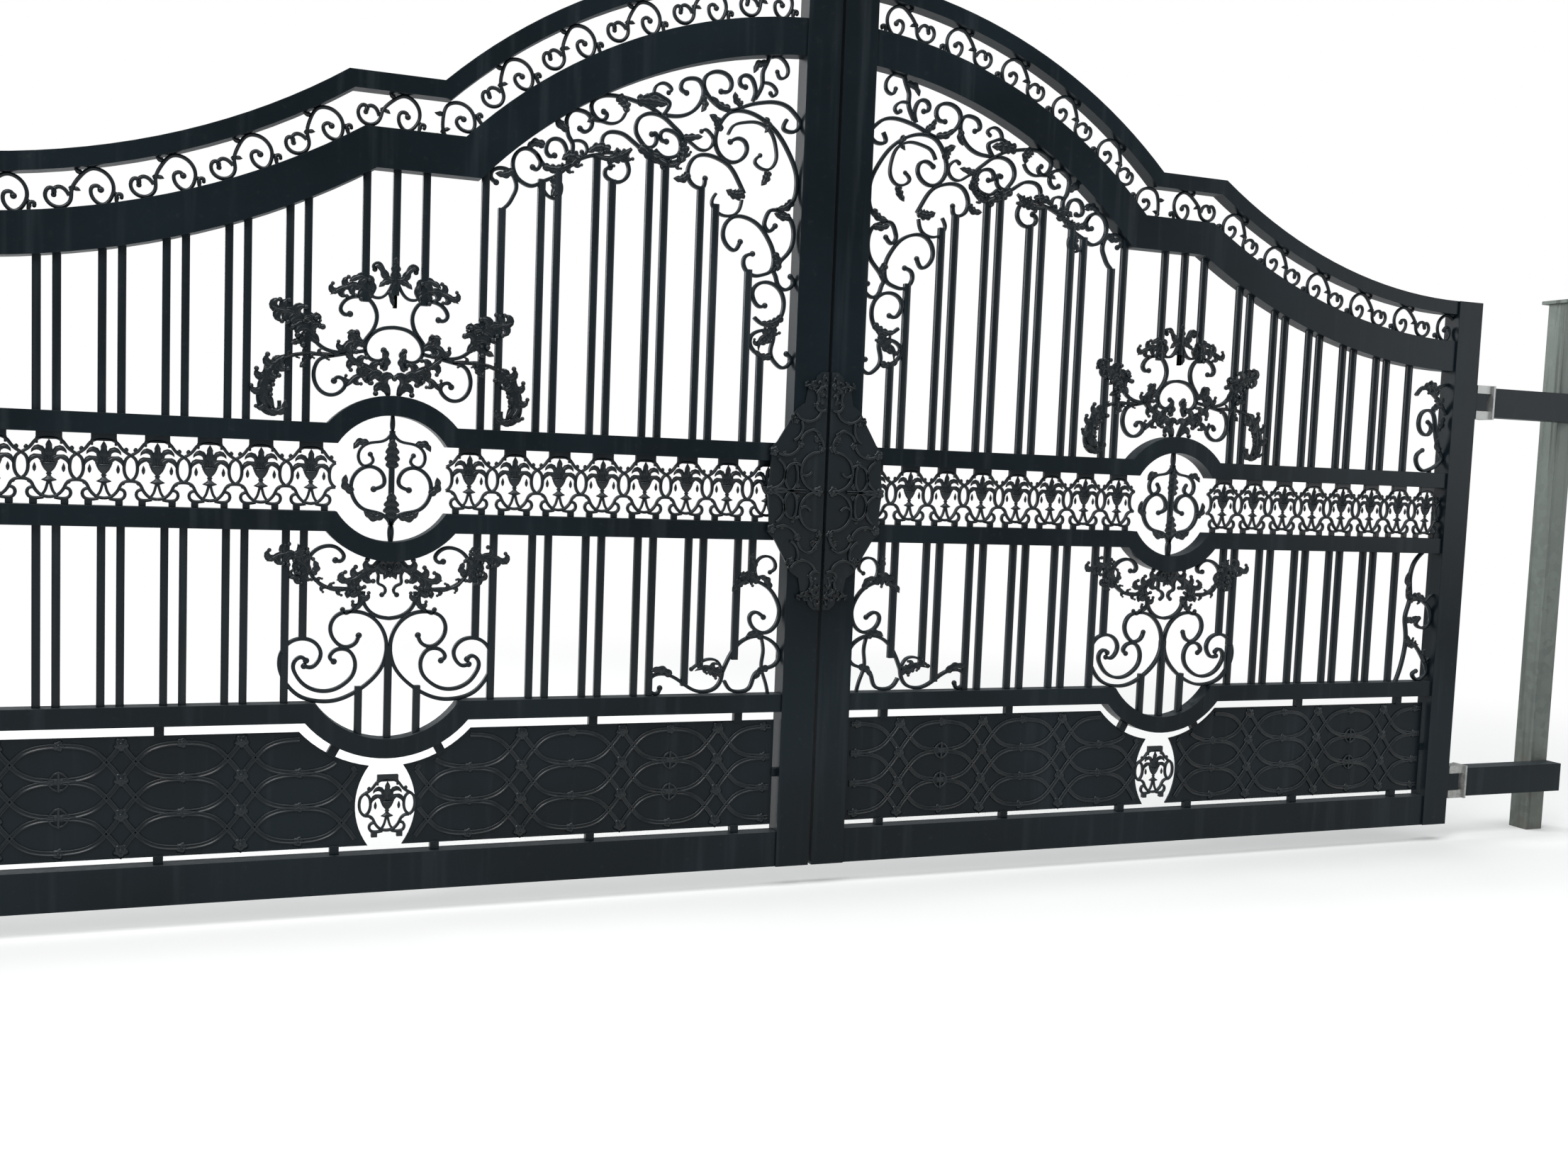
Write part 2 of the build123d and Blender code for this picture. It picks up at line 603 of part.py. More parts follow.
def hinge_brackets():
    """Two lugs, a pin and a flange at each hinge."""
    out = []
    lug = rect(pin_u - eye_half, pin_u + arm_start, mid_y - eye_half, mid_y + eye_half)
    high = eye_h + 2 * (eye_play + lug_t)
    flange = rect(pin_u + arm_start, pin_u + arm_start + flange_t, 0, stile_d)
    for z in (lower_hinge_z, upper_hinge_z):
        low = z - high / 2
        body = Pos(0, 0, low) * extrude(flange, amount=high)
        body += Pos(0, 0, low) * extrude(lug, amount=lug_t)
        body += Pos(0, 0, low + high - lug_t) * extrude(lug, amount=lug_t)
        body += Pos(0, 0, low + lug_t) * extrude(disc(pin_u, mid_y, pin_r), amount=high - 2 * lug_t)
        out.append(body)
    return out


def hinge_arms():
    """Box arms from the flanges across the front of the post."""
    u0 = pin_u + arm_start + flange_t
    u1 = post_u + post_w / 2
    out = []
    for z in (lower_hinge_z, upper_hinge_z):
        out.append(sheet(rect(u0, u1, z - arm_h / 2, z + arm_h / 2), stile_d, 0))
    return out


def post():
    """The post with its welded cap, standing on the ground."""
    body = Pos(post_u, post_y, post_h / 2 - ground_gap) * Box(post_w, post_w, post_h)
    body += Pos(post_u, post_y, post_h + cap_t / 2 - ground_gap) * Box(cap_w, cap_w, cap_t)
    return [body]


# Assembly

def leaf_parts():
    start, corner1, corner2, level, r1, r2 = arch_points(top_off)
    parts = {}
    top = disc(0, arch_centre_z, r1)
    parts["meeting_stile"] = [sheet(rect(0, stile_w, 0, arch_centre_z + r1) & top, stile_d)]
    parts["hinge_stile"] = [sheet(rect(u_out, leaf_w, 0, sweep_end_z + top_off), stile_d)]
    parts["bottom_rail"] = [sheet(rect(u_in, u_out, 0, bottom_rail_h), rail_d)]
    lower = bowed(lower_rail_z, dip_z, dip_r, False)
    low_mid = bowed(lower_mid_z, ring_z, ring_r, False)
    high_mid = bowed(upper_mid_z, ring_z, ring_r, True)
    parts["lower_rail"] = [sheet(lower, rail_d)]
    parts["lower_mid_rail"] = [sheet(low_mid, rail_d)]
    parts["upper_mid_rail"] = [sheet(high_mid, rail_d)]
    parts["arch_rail"] = [sheet(arch_band(0, arch_h), rail_d)]
    parts["crown_rail"] = [sheet(arch_band(crown_off, top_off), rail_d)]

    low_open = lower_opening()
    high_open = upper_opening()
    groups = {
        "pendant_scrolls": merge(pendant()) & low_open,
        "crest_scrolls": merge(crest()) & high_open,
        "corner_scrolls_top": merge(corner_top()) & high_open,
        "corner_scrolls_low": merge(corner_low()) & low_open,
        "hinge_scrolls_low": merge(hinge_side_low()) & low_open,
        "hinge_scrolls_high": merge(hinge_side_high()) & high_open,
    }
    parts["medallion_scrolls"] = [sheet(f, scroll_d) for f in
                                  (merge(medallion()) & disc(centre_u, ring_z, ring_r - seat)).faces()]
    for name, group in groups.items():
        parts[name] = [sheet(f, scroll_d) for f in group.faces()]

    low_scrolls = groups["pendant_scrolls"] + groups["corner_scrolls_low"] + groups["hinge_scrolls_low"]
    high_scrolls = groups["crest_scrolls"] + groups["corner_scrolls_top"] + groups["hinge_scrolls_high"]
    past = ring_out + crest_reach

    def keep_low(u):
        d = u - centre_u
        if abs(d) < ring_out / 2:
            return "low"
        return "high" if u < centre_u - past - inner_pitch else "both"

    def keep_high(u):
        d = u - centre_u
        if abs(d) < ring_out / 2:
            return "high"
        return "low" if u < centre_u - past or u > u_out - single_room - bar_step else "both"

    bars = coped(low_open, low_scrolls, keep_low) + coped(high_open, high_scrolls, keep_high)
    parts["bars"] = [sheet(f, bar_w) for f in bars]
    parts["urn_frieze"] = [sheet(f, urn_d) for f in urn_frieze()]
    parts["crown_frieze"] = [sheet(f, fine_d) for f in crown_frieze()]
    sheets, oval = panel()
    parts["kick_panel"] = sheets.solids()
    parts["panel_vase"] = [sheet(f, vase_d) for f in panel_vase(oval)]
    parts["lock_plate"] = [lock_plate()]
    parts["hinge_eyes"] = eye_blocks()
    return parts


def save(name, solids):
    shape = Compound(label=name, children=list(solids)) if len(solids) > 1 else solids[0]
    shape.label = name
    export_step(shape, f"parts/{name}.step")


def main():
    os.makedirs("parts", exist_ok=True)
    fixed = {"post": post(), "hinge_brackets": hinge_brackets(), "hinge_arms": hinge_arms()}
    half = {**leaf_parts(), **fixed}
    right = Pos(seam_x + seam_gap / 2, -post_y, ground_gap)
    left = Pos(seam_x - seam_gap / 2, -post_y, ground_gap)
    for name, shapes in half.items():
        solids = [x for s in shapes for x in s.solids()]
        save("right_" + name, [right * s for s in solids])
        save("left_" + name, [left * mirror(s, about=Plane.YZ) for s in solids])


main()
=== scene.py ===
import functools
import math

import bmesh
import bpy
import numpy as np
from bpy.props import FloatProperty, FloatVectorProperty, PointerProperty
from mathutils import Matrix, Vector


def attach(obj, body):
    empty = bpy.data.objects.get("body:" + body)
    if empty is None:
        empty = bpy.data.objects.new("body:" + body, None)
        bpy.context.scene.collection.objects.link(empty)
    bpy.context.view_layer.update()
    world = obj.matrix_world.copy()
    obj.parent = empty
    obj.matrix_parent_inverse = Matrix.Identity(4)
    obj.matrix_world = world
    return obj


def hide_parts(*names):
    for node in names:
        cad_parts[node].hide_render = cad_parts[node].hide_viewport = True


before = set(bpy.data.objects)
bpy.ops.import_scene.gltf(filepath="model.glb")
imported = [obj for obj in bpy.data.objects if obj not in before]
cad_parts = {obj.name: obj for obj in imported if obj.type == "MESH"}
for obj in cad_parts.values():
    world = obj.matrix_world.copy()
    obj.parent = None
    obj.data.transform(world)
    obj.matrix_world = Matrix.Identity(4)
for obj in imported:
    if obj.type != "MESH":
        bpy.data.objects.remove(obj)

bl_info = {
    "name": "Wrought Iron Driveway Gate",
    "version": (1, 0, 0),
    "blender": (4, 5, 0),
    "location": "View3D > Sidebar > Gate",
    "description": "Dresses the packed driveway gate with scrollwork, castings, finishes and a studio",
    "category": "Object",
}

# Where the leaves stand in the gate's frame, in metres
SEAM = 2.925
SEAM_HALF = 0.005
LEAF_MIDDLE_Y = -0.070
LEAF_FOOT_Z = 0.060

# A leaf is drawn flat in millimetres: u from its meeting edge, z from its lower edge, d out of its middle
# plane towards the front. The right leaf is placed as drawn and the left one is its mirror image.
LEAF_W = 2426.0
STILE_W = 102.0
CENTRE_U = LEAF_W / 2
U_IN = STILE_W
U_OUT = LEAF_W - STILE_W
LOWER_TOP = 506.0        # tops of the lower, the lower middle and the upper middle rail
LOWER_MID_TOP = 1003.0
UPPER_MID_TOP = 1229.0
RING_Z = 1090.5          # middle and outer radius of the medallion's ring
RING_OUT = 215.0
ARCH_CENTRE_Z = 951.0    # underside of the arched rail: an arc, a shoulder and a hollow sweep
ARCH_R = 1365.0
SHOULDER_Z = 1880.0
SWEEP_R = 1993.0
SWEEP_Z = 3570.0
CROWN_MIDDLE = 147.5     # from the underside of the arched rail to the middle of the crown frieze
DIP_Z = 630.0            # half ring of the lower rail
DIP_OUT = 273.0
LOCK_Z = 1095.0
CORNER_U = U_IN - 7.0    # where the corner scrolls are drawn from
CORNER_Z = ARCH_CENTRE_Z + ARCH_R
SIDE_U = U_OUT + 19.0    # where the scrolls beside the hinge stile are drawn from

# Scrolls: for each group where it stands, whether it has a mirror image about that upright, and the lines
# of its irons. A line is (weight, ends that carry a ball, points).
SCROLL_GROUPS = {
    "pendant_scrolls": (CENTRE_U, LOWER_TOP, True, [
        ("iron", "se", [(76, 174), (84, 155), (110, 144), (135, 159), (148, 194), (135, 224), (95, 237),
            (55, 229), (25, 204), (7, 164), (5, 134), (15, 94), (45, 54), (85, 24), (135, 4), (175, 3),
            (225, 19), (255, 50), (273, 94), (267, 134), (245, 159), (210, 166), (182, 152), (171, 127),
            (179, 104), (194, 92), (212, 95)]),
        ("iron", "se", [(138, 106), (148, 116), (141, 131), (124, 139), (104, 136), (89, 119), (84, 94),
            (91, 69), (109, 49), (134, 34), (161, 29), (189, 34), (214, 49), (231, 71), (239, 94), (232, 112),
            (219, 118), (207, 109)]),
        ("iron", "", [(66, 290), (66, 264), (54, 242), (30, 225), (0, 219)]),
        ("iron", "e", [(74, 322), (104, 298), (144, 296), (174, 308), (196, 330), (205, 353), (203, 376),
            (188, 395), (164, 406), (140, 405), (124, 394), (117, 379), (126, 368), (138, 370)]),
        ("fine", "e", [(40, 350), (29, 330), (29, 311), (16, 304), (11, 289), (19, 281)]),
        ("fine", "e", [(90, 246), (100, 236), (112, 232), (118, 242)]),
    ]),
    "crest_scrolls": (CENTRE_U, RING_Z + RING_OUT, True, [
        ("iron", "e", [(0, 176), (28, 172), (52, 159), (68, 139), (73, 115), (60, 93), (40, 88), (24, 96),
            (17, 108), (26, 116)]),
        ("iron", "", [(12, -4), (24, 29), (40, 52), (68, 66), (100, 84), (122, 104)]),
        ("iron", "e", [(84, 122), (70, 144), (54, 167), (46, 189), (45, 205), (52, 227), (66, 243), (90, 249),
            (115, 243), (131, 228), (135, 212), (125, 201), (112, 203)]),
        ("iron", "", [(72, 112), (112, 105), (145, 104), (175, 112), (198, 131), (217, 161), (239, 189),
            (272, 203), (302, 201)]),
        ("iron", "e", [(112, 104), (156, 94), (184, 84), (197, 62), (199, 40), (189, 12), (170, -3),
            (148, -4), (129, 8), (121, 24), (129, 38), (142, 40), (149, 31)]),
        ("iron", "", [(150, 95), (211, 96), (250, 90), (283, 73), (310, 46), (328, 13), (333, -20),
            (322, -50), (301, -60), (284, -48), (282, -26)]),
        ("fine", "e", [(6, 292), (18, 266), (42, 249), (58, 254), (52, 270), (60, 284), (74, 284),
            (76, 273)]),
        ("fine", "e", [(2, 296), (18, 304), (30, 322), (44, 338), (56, 330), (52, 321)]),
        ("iron", "", [(0, 226), (0, 290), (0, 350)]),
    ]),
    "corner_scrolls_top": (CORNER_U, CORNER_Z, False, [
        ("iron", "s", [(216, -261), (193, -249), (173, -256), (166, -276), (183, -306), (208, -316),
            (238, -306), (258, -276), (248, -216), (218, -181), (178, -173), (128, -186), (78, -221),
            (38, -276), (16, -326), (13, -366), (23, -406), (48, -426), (73, -432)]),
        ("fine", "e", [(223, -241), (208, -216), (178, -204), (134, -200), (96, -222), (80, -262), (78, -296),
            (88, -316), (108, -326), (141, -306), (126, -288)]),
        ("iron", "e", [(50, -181), (58, -208), (38, -214), (18, -206), (10, -186), (23, -166), (48, -146),
            (88, -138), (128, -144), (168, -156), (228, -176), (258, -166), (283, -146), (298, -121),
            (295, -96), (278, -81), (248, -76), (228, -84), (218, -106), (228, -126), (248, -128)]),
        ("iron", "e", [(403, -211), (368, -209), (328, -191), (303, -156), (300, -126), (313, -106),
            (338, -104), (360, -116), (363, -136), (348, -144)]),
        ("iron", "", [(147, -136), (135, -115), (127, -89), (127, -61), (120, -44), (109, -15)]),
        ("iron", "e", [(154, -142), (147, -119), (150, -99), (164, -78), (184, -77), (194, -89), (189, -105),
            (177, -107)]),
        ("fine", "e", [(127, -89), (105, -89), (89, -99), (84, -112), (95, -122), (102, -115)]),
        ("fine", "e", [(102, -17), (82, -13), (62, -24), (52, -44), (58, -65), (75, -70), (84, -54)]),
        ("iron", "s", [(443, -266), (434, -262), (429, -276), (436, -296), (456, -303), (471, -291),
            (488, -262), (481, -230), (446, -211), (409, -218), (382, -238), (361, -256), (354, -266)]),
        ("iron", "s", [(401, -281), (414, -279), (419, -266), (409, -252), (389, -251), (368, -262),
            (359, -286), (364, -309), (382, -321), (409, -323), (433, -306)]),
        ("iron", "", [(572, -325), (581, -306), (579, -289), (566, -276), (545, -272), (521, -276),
            (501, -288), (478, -304), (457, -318), (439, -325), (409, -334), (382, -334), (358, -319),
            (351, -296), (354, -270)]),
        ("fine", "e", [(354, -266), (327, -279), (307, -291), (286, -291), (269, -276), (266, -259),
            (276, -244), (291, -236), (301, -242)]),
        ("iron", "s", [(286, -368), (293, -394), (318, -391), (336, -366), (333, -336), (313, -311),
            (283, -304), (248, -311), (218, -326), (188, -366), (170, -398)]),
        ("fine", "", [(253, -406), (264, -431), (248, -456), (218, -464), (188, -451), (176, -416)]),
        ("iron", "s", [(73, -478), (93, -494), (105, -481), (103, -461), (88, -436), (63, -436), (28, -456),
            (16, -496), (28, -546), (58, -581), (73, -606)]),
        ("iron", "se", [(176, -531), (193, -556), (218, -541), (228, -511), (218, -481), (193, -463),
            (158, -464), (123, -481), (93, -516), (76, -551), (73, -576), (83, -606), (103, -616),
            (133, -621), (163, -596), (160, -571), (138, -561)]),
        ("iron", "s", [(95, -702), (111, -706), (129, -689), (133, -663), (115, -642), (86, -637), (62, -646),
            (41, -674), (38, -702), (48, -734), (73, -754), (100, -754), (126, -737)]),
        ("iron", "e", [(73, -606), (66, -618), (59, -639), (41, -653), (20, -646), (11, -629), (21, -615)]),
        ("iron", "e", [(73, -754), (66, -793), (73, -828), (69, -846), (55, -863), (38, -873), (16, -863),
            (11, -846), (24, -833)]),
        ("iron", "", [(66, -770), (112, -775), (133, -790), (136, -811), (122, -832), (93, -844),
            (69, -846)]),
        ("iron", "e", [(663, -364), (632, -350), (612, -342), (592, -337), (569, -329), (540, -330),
            (521, -337), (508, -354), (505, -374), (515, -394), (535, -404), (556, -400), (569, -390),
            (569, -374), (557, -367)]),
        ("iron", "e", [(663, -364), (662, -340), (663, -313), (672, -299), (678, -279), (680, -256),
            (673, -239), (660, -228), (640, -227), (622, -233), (612, -246), (611, -263), (619, -276),
            (632, -281), (643, -274)]),
        ("fine", "e", [(662, -309), (643, -306), (627, -313), (622, -327), (627, -340), (636, -345),
            (636, -335)]),
        ("iron", "s", [(579, -222), (571, -227), (574, -241), (589, -246), (602, -238), (612, -222),
            (612, -205), (602, -192), (582, -181), (538, -177), (511, -180), (485, -185), (450, -195),
            (420, -211)]),
        ("fine", "", [(519, -220), (528, -236), (545, -248), (566, -251), (586, -248), (606, -246),
            (614, -240)]),
        ("iron", "", [(485, -185), (471, -172), (450, -162), (439, -158), (415, -165), (396, -177),
            (402, -197), (412, -211)]),
        ("fine", "e", [(441, -157), (436, -139), (419, -127), (402, -129), (391, -142), (399, -150)]),
        ("iron", "e", [(663, -364), (675, -347), (680, -328), (690, -313), (707, -308), (723, -314),
            (732, -330), (732, -345), (723, -355), (710, -352)]),
        ("iron", "", [(758, -354), (749, -367), (738, -380), (720, -389), (697, -384), (677, -374),
            (663, -364)]),
        ("iron", "s", [(768, -389), (758, -394), (749, -384), (748, -370), (758, -354), (773, -344),
            (788, -342), (804, -349), (816, -364), (821, -384), (818, -404), (808, -421), (791, -433),
            (771, -438), (739, -423), (713, -410), (688, -392), (663, -364)]),
        ("fine", "", [(713, -410), (693, -421), (690, -448), (698, -463), (718, -463), (734, -450),
            (741, -428)]),
        ("iron", "s", [(864, -438), (877, -428), (877, -414), (867, -404), (849, -400), (827, -407),
            (813, -428), (811, -451), (819, -471), (830, -491), (844, -505)]),
    ]),
    "corner_scrolls_low": (CORNER_U, LOWER_TOP, False, [
        ("iron", "s", [(368, 21), (376, 6), (395, 12), (404, 34), (393, 54), (368, 62), (338, 56), (308, 39),
            (278, 19), (248, 9), (233, 9), (203, 19), (188, 39), (183, 64)]),
        ("fine", "e", [(183, 64), (203, 98), (238, 99), (263, 84), (276, 74)]),
        ("iron", "", [(183, 64), (160, 114), (138, 144), (103, 164), (68, 166), (38, 154), (16, 132),
            (10, 109), (23, 84), (48, 74), (83, 56), (100, 16), (128, 7), (158, 14), (176, 39)]),
        ("iron", "se", [(63, 222), (93, 236), (103, 229), (96, 194), (78, 181), (58, 177), (33, 189),
            (18, 214), (15, 244), (23, 269), (48, 304), (83, 324), (123, 330), (145, 320)]),
        ("fine", "e", [(83, 329), (93, 349), (93, 374), (78, 394), (53, 397), (36, 384), (33, 364),
            (48, 352)]),
        ("fine", "", [(68, 166), (60, 120), (64, 80), (50, 34), (40, -5)]),
    ]),
    "hinge_scrolls_low": (SIDE_U, LOWER_TOP, False, [
        ("iron", "", [(-74, 450), (-109, 414), (-121, 384), (-124, 344), (-119, 284), (-134, 224),
            (-129, 184), (-124, 144), (-129, 94), (-144, 34), (-159, -5)]),
        ("iron", "e", [(-124, 344), (-119, 284), (-84, 284), (-54, 274), (-29, 249), (-24, 214), (-39, 189),
            (-64, 186), (-84, 199), (-72, 219)]),
        ("iron", "e", [(-124, 144), (-90, 130), (-54, 94), (-34, 64), (-24, 34), (-44, 9), (-69, 6),
            (-84, 24), (-69, 34)]),
        ("fine", "", [(-54, 274), (-25, 300), (5, 310)]),
        ("fine", "", [(-34, 64), (-15, 80), (5, 84)]),
    ]),
    "hinge_scrolls_high": (SIDE_U, UPPER_MID_TOP, False, [
        ("iron", "e", [(-34, 71), (-24, 51), (-44, 26), (-74, 11), (-104, 6), (-130, 25), (-134, 56),
            (-110, 75)]),
        ("iron", "e", [(-34, 71), (-50, 110), (-60, 150), (-85, 210), (-120, 205), (-135, 170), (-120, 135),
            (-90, 130), (-78, 155), (-95, 172)]),
        ("iron", "", [(-154, 261), (-119, 290), (-84, 271), (-40, 230), (-14, 201), (5, 201)]),
        ("iron", "", [(-84, 271), (-50, 295), (5, 306)]),
        ("iron", "", [(-74, 11), (-74, -5)]),
    ]),
    "medallion_scrolls": (CENTRE_U, RING_Z, True, [
        ("iron", "e", [(0, -167), (0, -120), (20, -95), (70, -80), (100, -40), (95, 5), (60, 30), (25, 15),
            (20, -15), (45, -28)]),
        ("fine", "e", [(0, 167), (0, 125), (18, 100), (60, 90), (85, 60), (70, 32), (48, 45), (55, 62)]),
    ]),
}
MEDALLION_STEM = [(0, -120), (0, 125)]

# Leaves on the scrolls of each group: (spine, half width, lobes)
LEAVES = {
    "pendant_scrolls": [
        ([(0, 396), (0, 366), (0, 326)], 20, 4), ([(20, 376), (8, 350), (16, 322)], 13, 3),
        ([(84, 300), (102, 290), (108, 272)], 14, 3), ([(196, 334), (186, 352), (192, 370)], 11, 3),
    ],
    "crest_scrolls": [
        ([(30, 66), (20, 88), (30, 112)], 12, 3), ([(92, 132), (100, 154), (120, 154)], 12, 3),
        ([(58, 264), (64, 290), (90, 298), (116, 284)], 13, 4), ([(214, 140), (236, 128), (258, 118)], 12, 3),
        ([(226, 170), (246, 164), (260, 150)], 11, 3),
        ([(278, 80), (302, 50), (314, 14), (310, -20), (294, -44)], 21, 5),
        ([(318, -36), (296, -54), (272, -46), (268, -22)], 13, 4), ([(214, 92), (220, 76), (234, 60)], 12, 3),
        ([(4, 292), (24, 304), (40, 326), (54, 328)], 11, 3), ([(4, 298), (26, 290), (42, 276)], 10, 3),
        ([(0, 286), (0, 318), (0, 356)], 14, 4), ([(2, 290), (10, 262), (4, 228)], 9, 3),
    ],
    "corner_scrolls_top": [
        ([(252, -236), (258, -212), (282, -196)], 15, 3), ([(172, -398), (196, -404), (226, -394)], 17, 4),
        ([(118, -186), (106, -206), (118, -226)], 11, 3), ([(354, -266), (328, -262), (300, -258)], 11, 3),
        ([(358, -276), (350, -302), (360, -336)], 15, 4), ([(478, -304), (440, -326), (396, -346)], 17, 4),
        ([(336, -360), (352, -376), (380, -378)], 13, 3), ([(512, -326), (536, -338), (568, -350)], 19, 4),
        ([(560, -322), (590, -318), (622, -336)], 15, 4), ([(640, -360), (664, -350), (692, -362)], 18, 4),
        ([(676, -282), (700, -268), (712, -240)], 13, 3), ([(541, -179), (521, -200), (519, -222)], 17, 4),
        ([(606, -240), (614, -248), (626, -256)], 8, 2), ([(486, -182), (446, -180), (404, -184)], 20, 4),
        ([(740, -384), (706, -388), (668, -372)], 13, 4), ([(713, -410), (706, -436), (718, -462)], 15, 3),
        ([(740, -330), (764, -326), (786, -344)], 13, 3), ([(820, -404), (842, -416), (868, -416)], 12, 3),
        ([(30, -450), (54, -452), (80, -444)], 12, 3), ([(76, -556), (62, -574), (64, -604)], 13, 3),
        ([(44, -730), (76, -752), (112, -750)], 14, 4), ([(70, -760), (84, -790), (112, -812)], 18, 4),
        ([(72, -842), (100, -846), (126, -828)], 12, 3), ([(26, -404), (44, -424), (72, -430)], 13, 3),
        ([(222, -172), (250, -168), (276, -146)], 12, 3), ([(304, -148), (296, -170), (306, -192)], 11, 3),
        ([(187, -159), (206, -144), (210, -126)], 12, 3), ([(117, -37), (142, -42), (156, -68)], 12, 3),
        ([(102, -330), (108, -350), (122, -372)], 13, 3),
    ],
    "corner_scrolls_low": [
        ([(184, 62), (206, 66), (240, 84)], 17, 4), ([(338, 58), (368, 74), (400, 72)], 13, 3),
        ([(66, 164), (92, 176), (118, 166)], 13, 3), ([(46, 76), (70, 66), (84, 44)], 12, 3),
        ([(84, 326), (112, 342), (146, 336)], 16, 4), ([(120, 330), (146, 318), (164, 296)], 14, 3),
        ([(50, 306), (60, 330), (84, 342)], 12, 3), ([(92, 368), (106, 384), (104, 408)], 11, 3),
    ],
    "hinge_scrolls_low": [
        ([(-120, 286), (-92, 296), (-62, 288)], 15, 4), ([(-126, 146), (-104, 128), (-76, 128)], 15, 4),
        ([(-124, 330), (-142, 350), (-140, 378)], 13, 3), ([(-132, 214), (-110, 214), (-92, 228)], 13, 3),
        ([(-36, 66), (-50, 86), (-44, 112)], 12, 3),
    ],
    "hinge_scrolls_high": [
        ([(-120, 290), (-92, 296), (-62, 276)], 16, 4), ([(-58, 146), (-40, 166), (-38, 196)], 13, 3),
        ([(-36, 74), (-54, 92), (-52, 120)], 13, 3), ([(-84, 210), (-66, 226), (-40, 226)], 13, 3),
    ],
    "medallion_scrolls": [
        ([(0, -104), (0, -70), (0, -34)], 22, 4), ([(0, 30), (0, 66), (0, 104)], 20, 4),
        ([(22, -94), (44, -100), (70, -82)], 13, 3), ([(98, -36), (116, -22), (116, 8)], 12, 3),
        ([(62, 90), (84, 92), (98, 74)], 11, 3),
    ],
}

# Leafy branches on the scrolls of each group: (spine, reach of a leaf, leaves on each side)
SPRAYS = {
    "pendant_scrolls": [
        ([(16, 380), (40, 352), (74, 332), (102, 318), (136, 320)], 27, 3),
        ([(74, 330), (88, 304), (74, 280), (76, 256), (94, 238)], 22, 2),
        ([(110, 298), (146, 297), (176, 309), (196, 330)], 15, 2),
        ([(200, 336), (212, 358), (224, 384), (232, 412)], 22, 2),
        ([(205, 348), (232, 374), (262, 386), (288, 376), (308, 366)], 26, 3),
        ([(202, 344), (226, 330), (252, 324)], 20, 2),
    ],
    "crest_scrolls": [
        ([(13, 2), (24, 29), (40, 52), (68, 66), (100, 84), (124, 106)], 27, 4),
        ([(44, 50), (70, 52), (96, 42), (120, 16)], 21, 2),
        ([(72, 124), (98, 134), (120, 122), (128, 102)], 24, 2),
        ([(57, 249), (76, 268), (101, 274), (130, 267), (162, 248)], 24, 3),
        ([(192, 126), (214, 158), (232, 182), (258, 198), (284, 200), (304, 208)], 30, 5),
        ([(200, 136), (207, 172), (195, 202)], 20, 2), ([(150, 96), (211, 97), (250, 91), (276, 78)], 12, 3),
        ([(268, 86), (296, 64), (316, 36), (326, 4), (322, -26), (304, -44)], 26, 4),
    ],
    "corner_scrolls_top": [
        ([(500, -312), (530, -336), (566, -346), (604, -340)], 20, 2),
        ([(60, -752), (84, -780), (108, -800), (112, -830)], 19, 2),
        ([(352, -290), (352, -318), (372, -340), (410, -344), (450, -332)], 15, 3),
        ([(648, -352), (664, -372), (696, -394)], 17, 2),
    ],
    "corner_scrolls_low": [
        ([(184, 58), (208, 72), (236, 80), (268, 70)], 18, 2), ([(84, 322), (112, 338), (146, 332)], 17, 2),
    ],
    "hinge_scrolls_low": [
        ([(-124, 330), (-120, 292), (-90, 286), (-60, 276)], 17, 3),
        ([(-124, 160), (-112, 138), (-84, 122)], 16, 2),
    ],
    "hinge_scrolls_high": [
        ([(-130, 282), (-104, 290), (-72, 262), (-42, 232)], 18, 3),
    ],
}

# Ball on the end of a light iron, as a share of the one on a full iron
FINE_BALL = 0.82

# Bars
BAR_SEAT = 2.5           # how far a bar's ends go into the rails
BAR_STUB = 45.0          # shorter pieces of a bar are left out
BESIDE_CREST = (150.0, 330.0)   # how far from the middle the bars stand that run on behind the crest
CORNER_END = 1812.0      # where the outermost corner scroll ends on its bar

# Urn frieze: the castings stand on the lower middle rail, a loop between each two
URN_PITCH = 121.4
URN_EDGE = URN_PITCH / 2
URN_PLACES = [202.0 + URN_PITCH * k for k in range(8)]
STRAP_EDGE = 0.0026      # edge radii in metres
STALK_EDGE = 0.002
STALK_W = 0.0065         # stalk beside the vase, in metres
STALK_D = 0.010
PANEL_URN = (CENTRE_U - 5, 142.0, 0.0, 0.0, 0.95)   # u, z, d, turn and size of the urn in the panel

# Crown frieze: one casting repeated along the arch, over the shoulder and along the hollow sweep
FRIEZE_SCROLL = [(-11, -9), (-8, -1), (6, 0), (12, -12), (8, -31), (-7, -44), (-32, -28), (-41, 0), (-30, 28),
                 (-4, 42), (31, 24), (53, -3), (60, -24), (80, -38), (99, -34), (112, -17), (110, 1), (99, 9),
                 (90, 3), (94, -8)]
FRIEZE_HOOK = [(-40, -46), (-41, -34), (-47, -24), (-54, -26), (-53, -33)]
FRIEZE_HEART = [(61, -14), (68, 2), (80, 9), (91, 4), (94, -8)]
FRIEZE_FIRST = 184.0     # along the rail from the meeting edge
FRIEZE_PITCH = 198.5
FRIEZE_LEAD = 14.0       # how far the casting at the shoulder stands past its middle
HOLLOW_PITCH = 191.0
FRIEZE_IRON_EDGE = 0.003   # metres, as the radius of the balls
FRIEZE_BALL = 0.0095

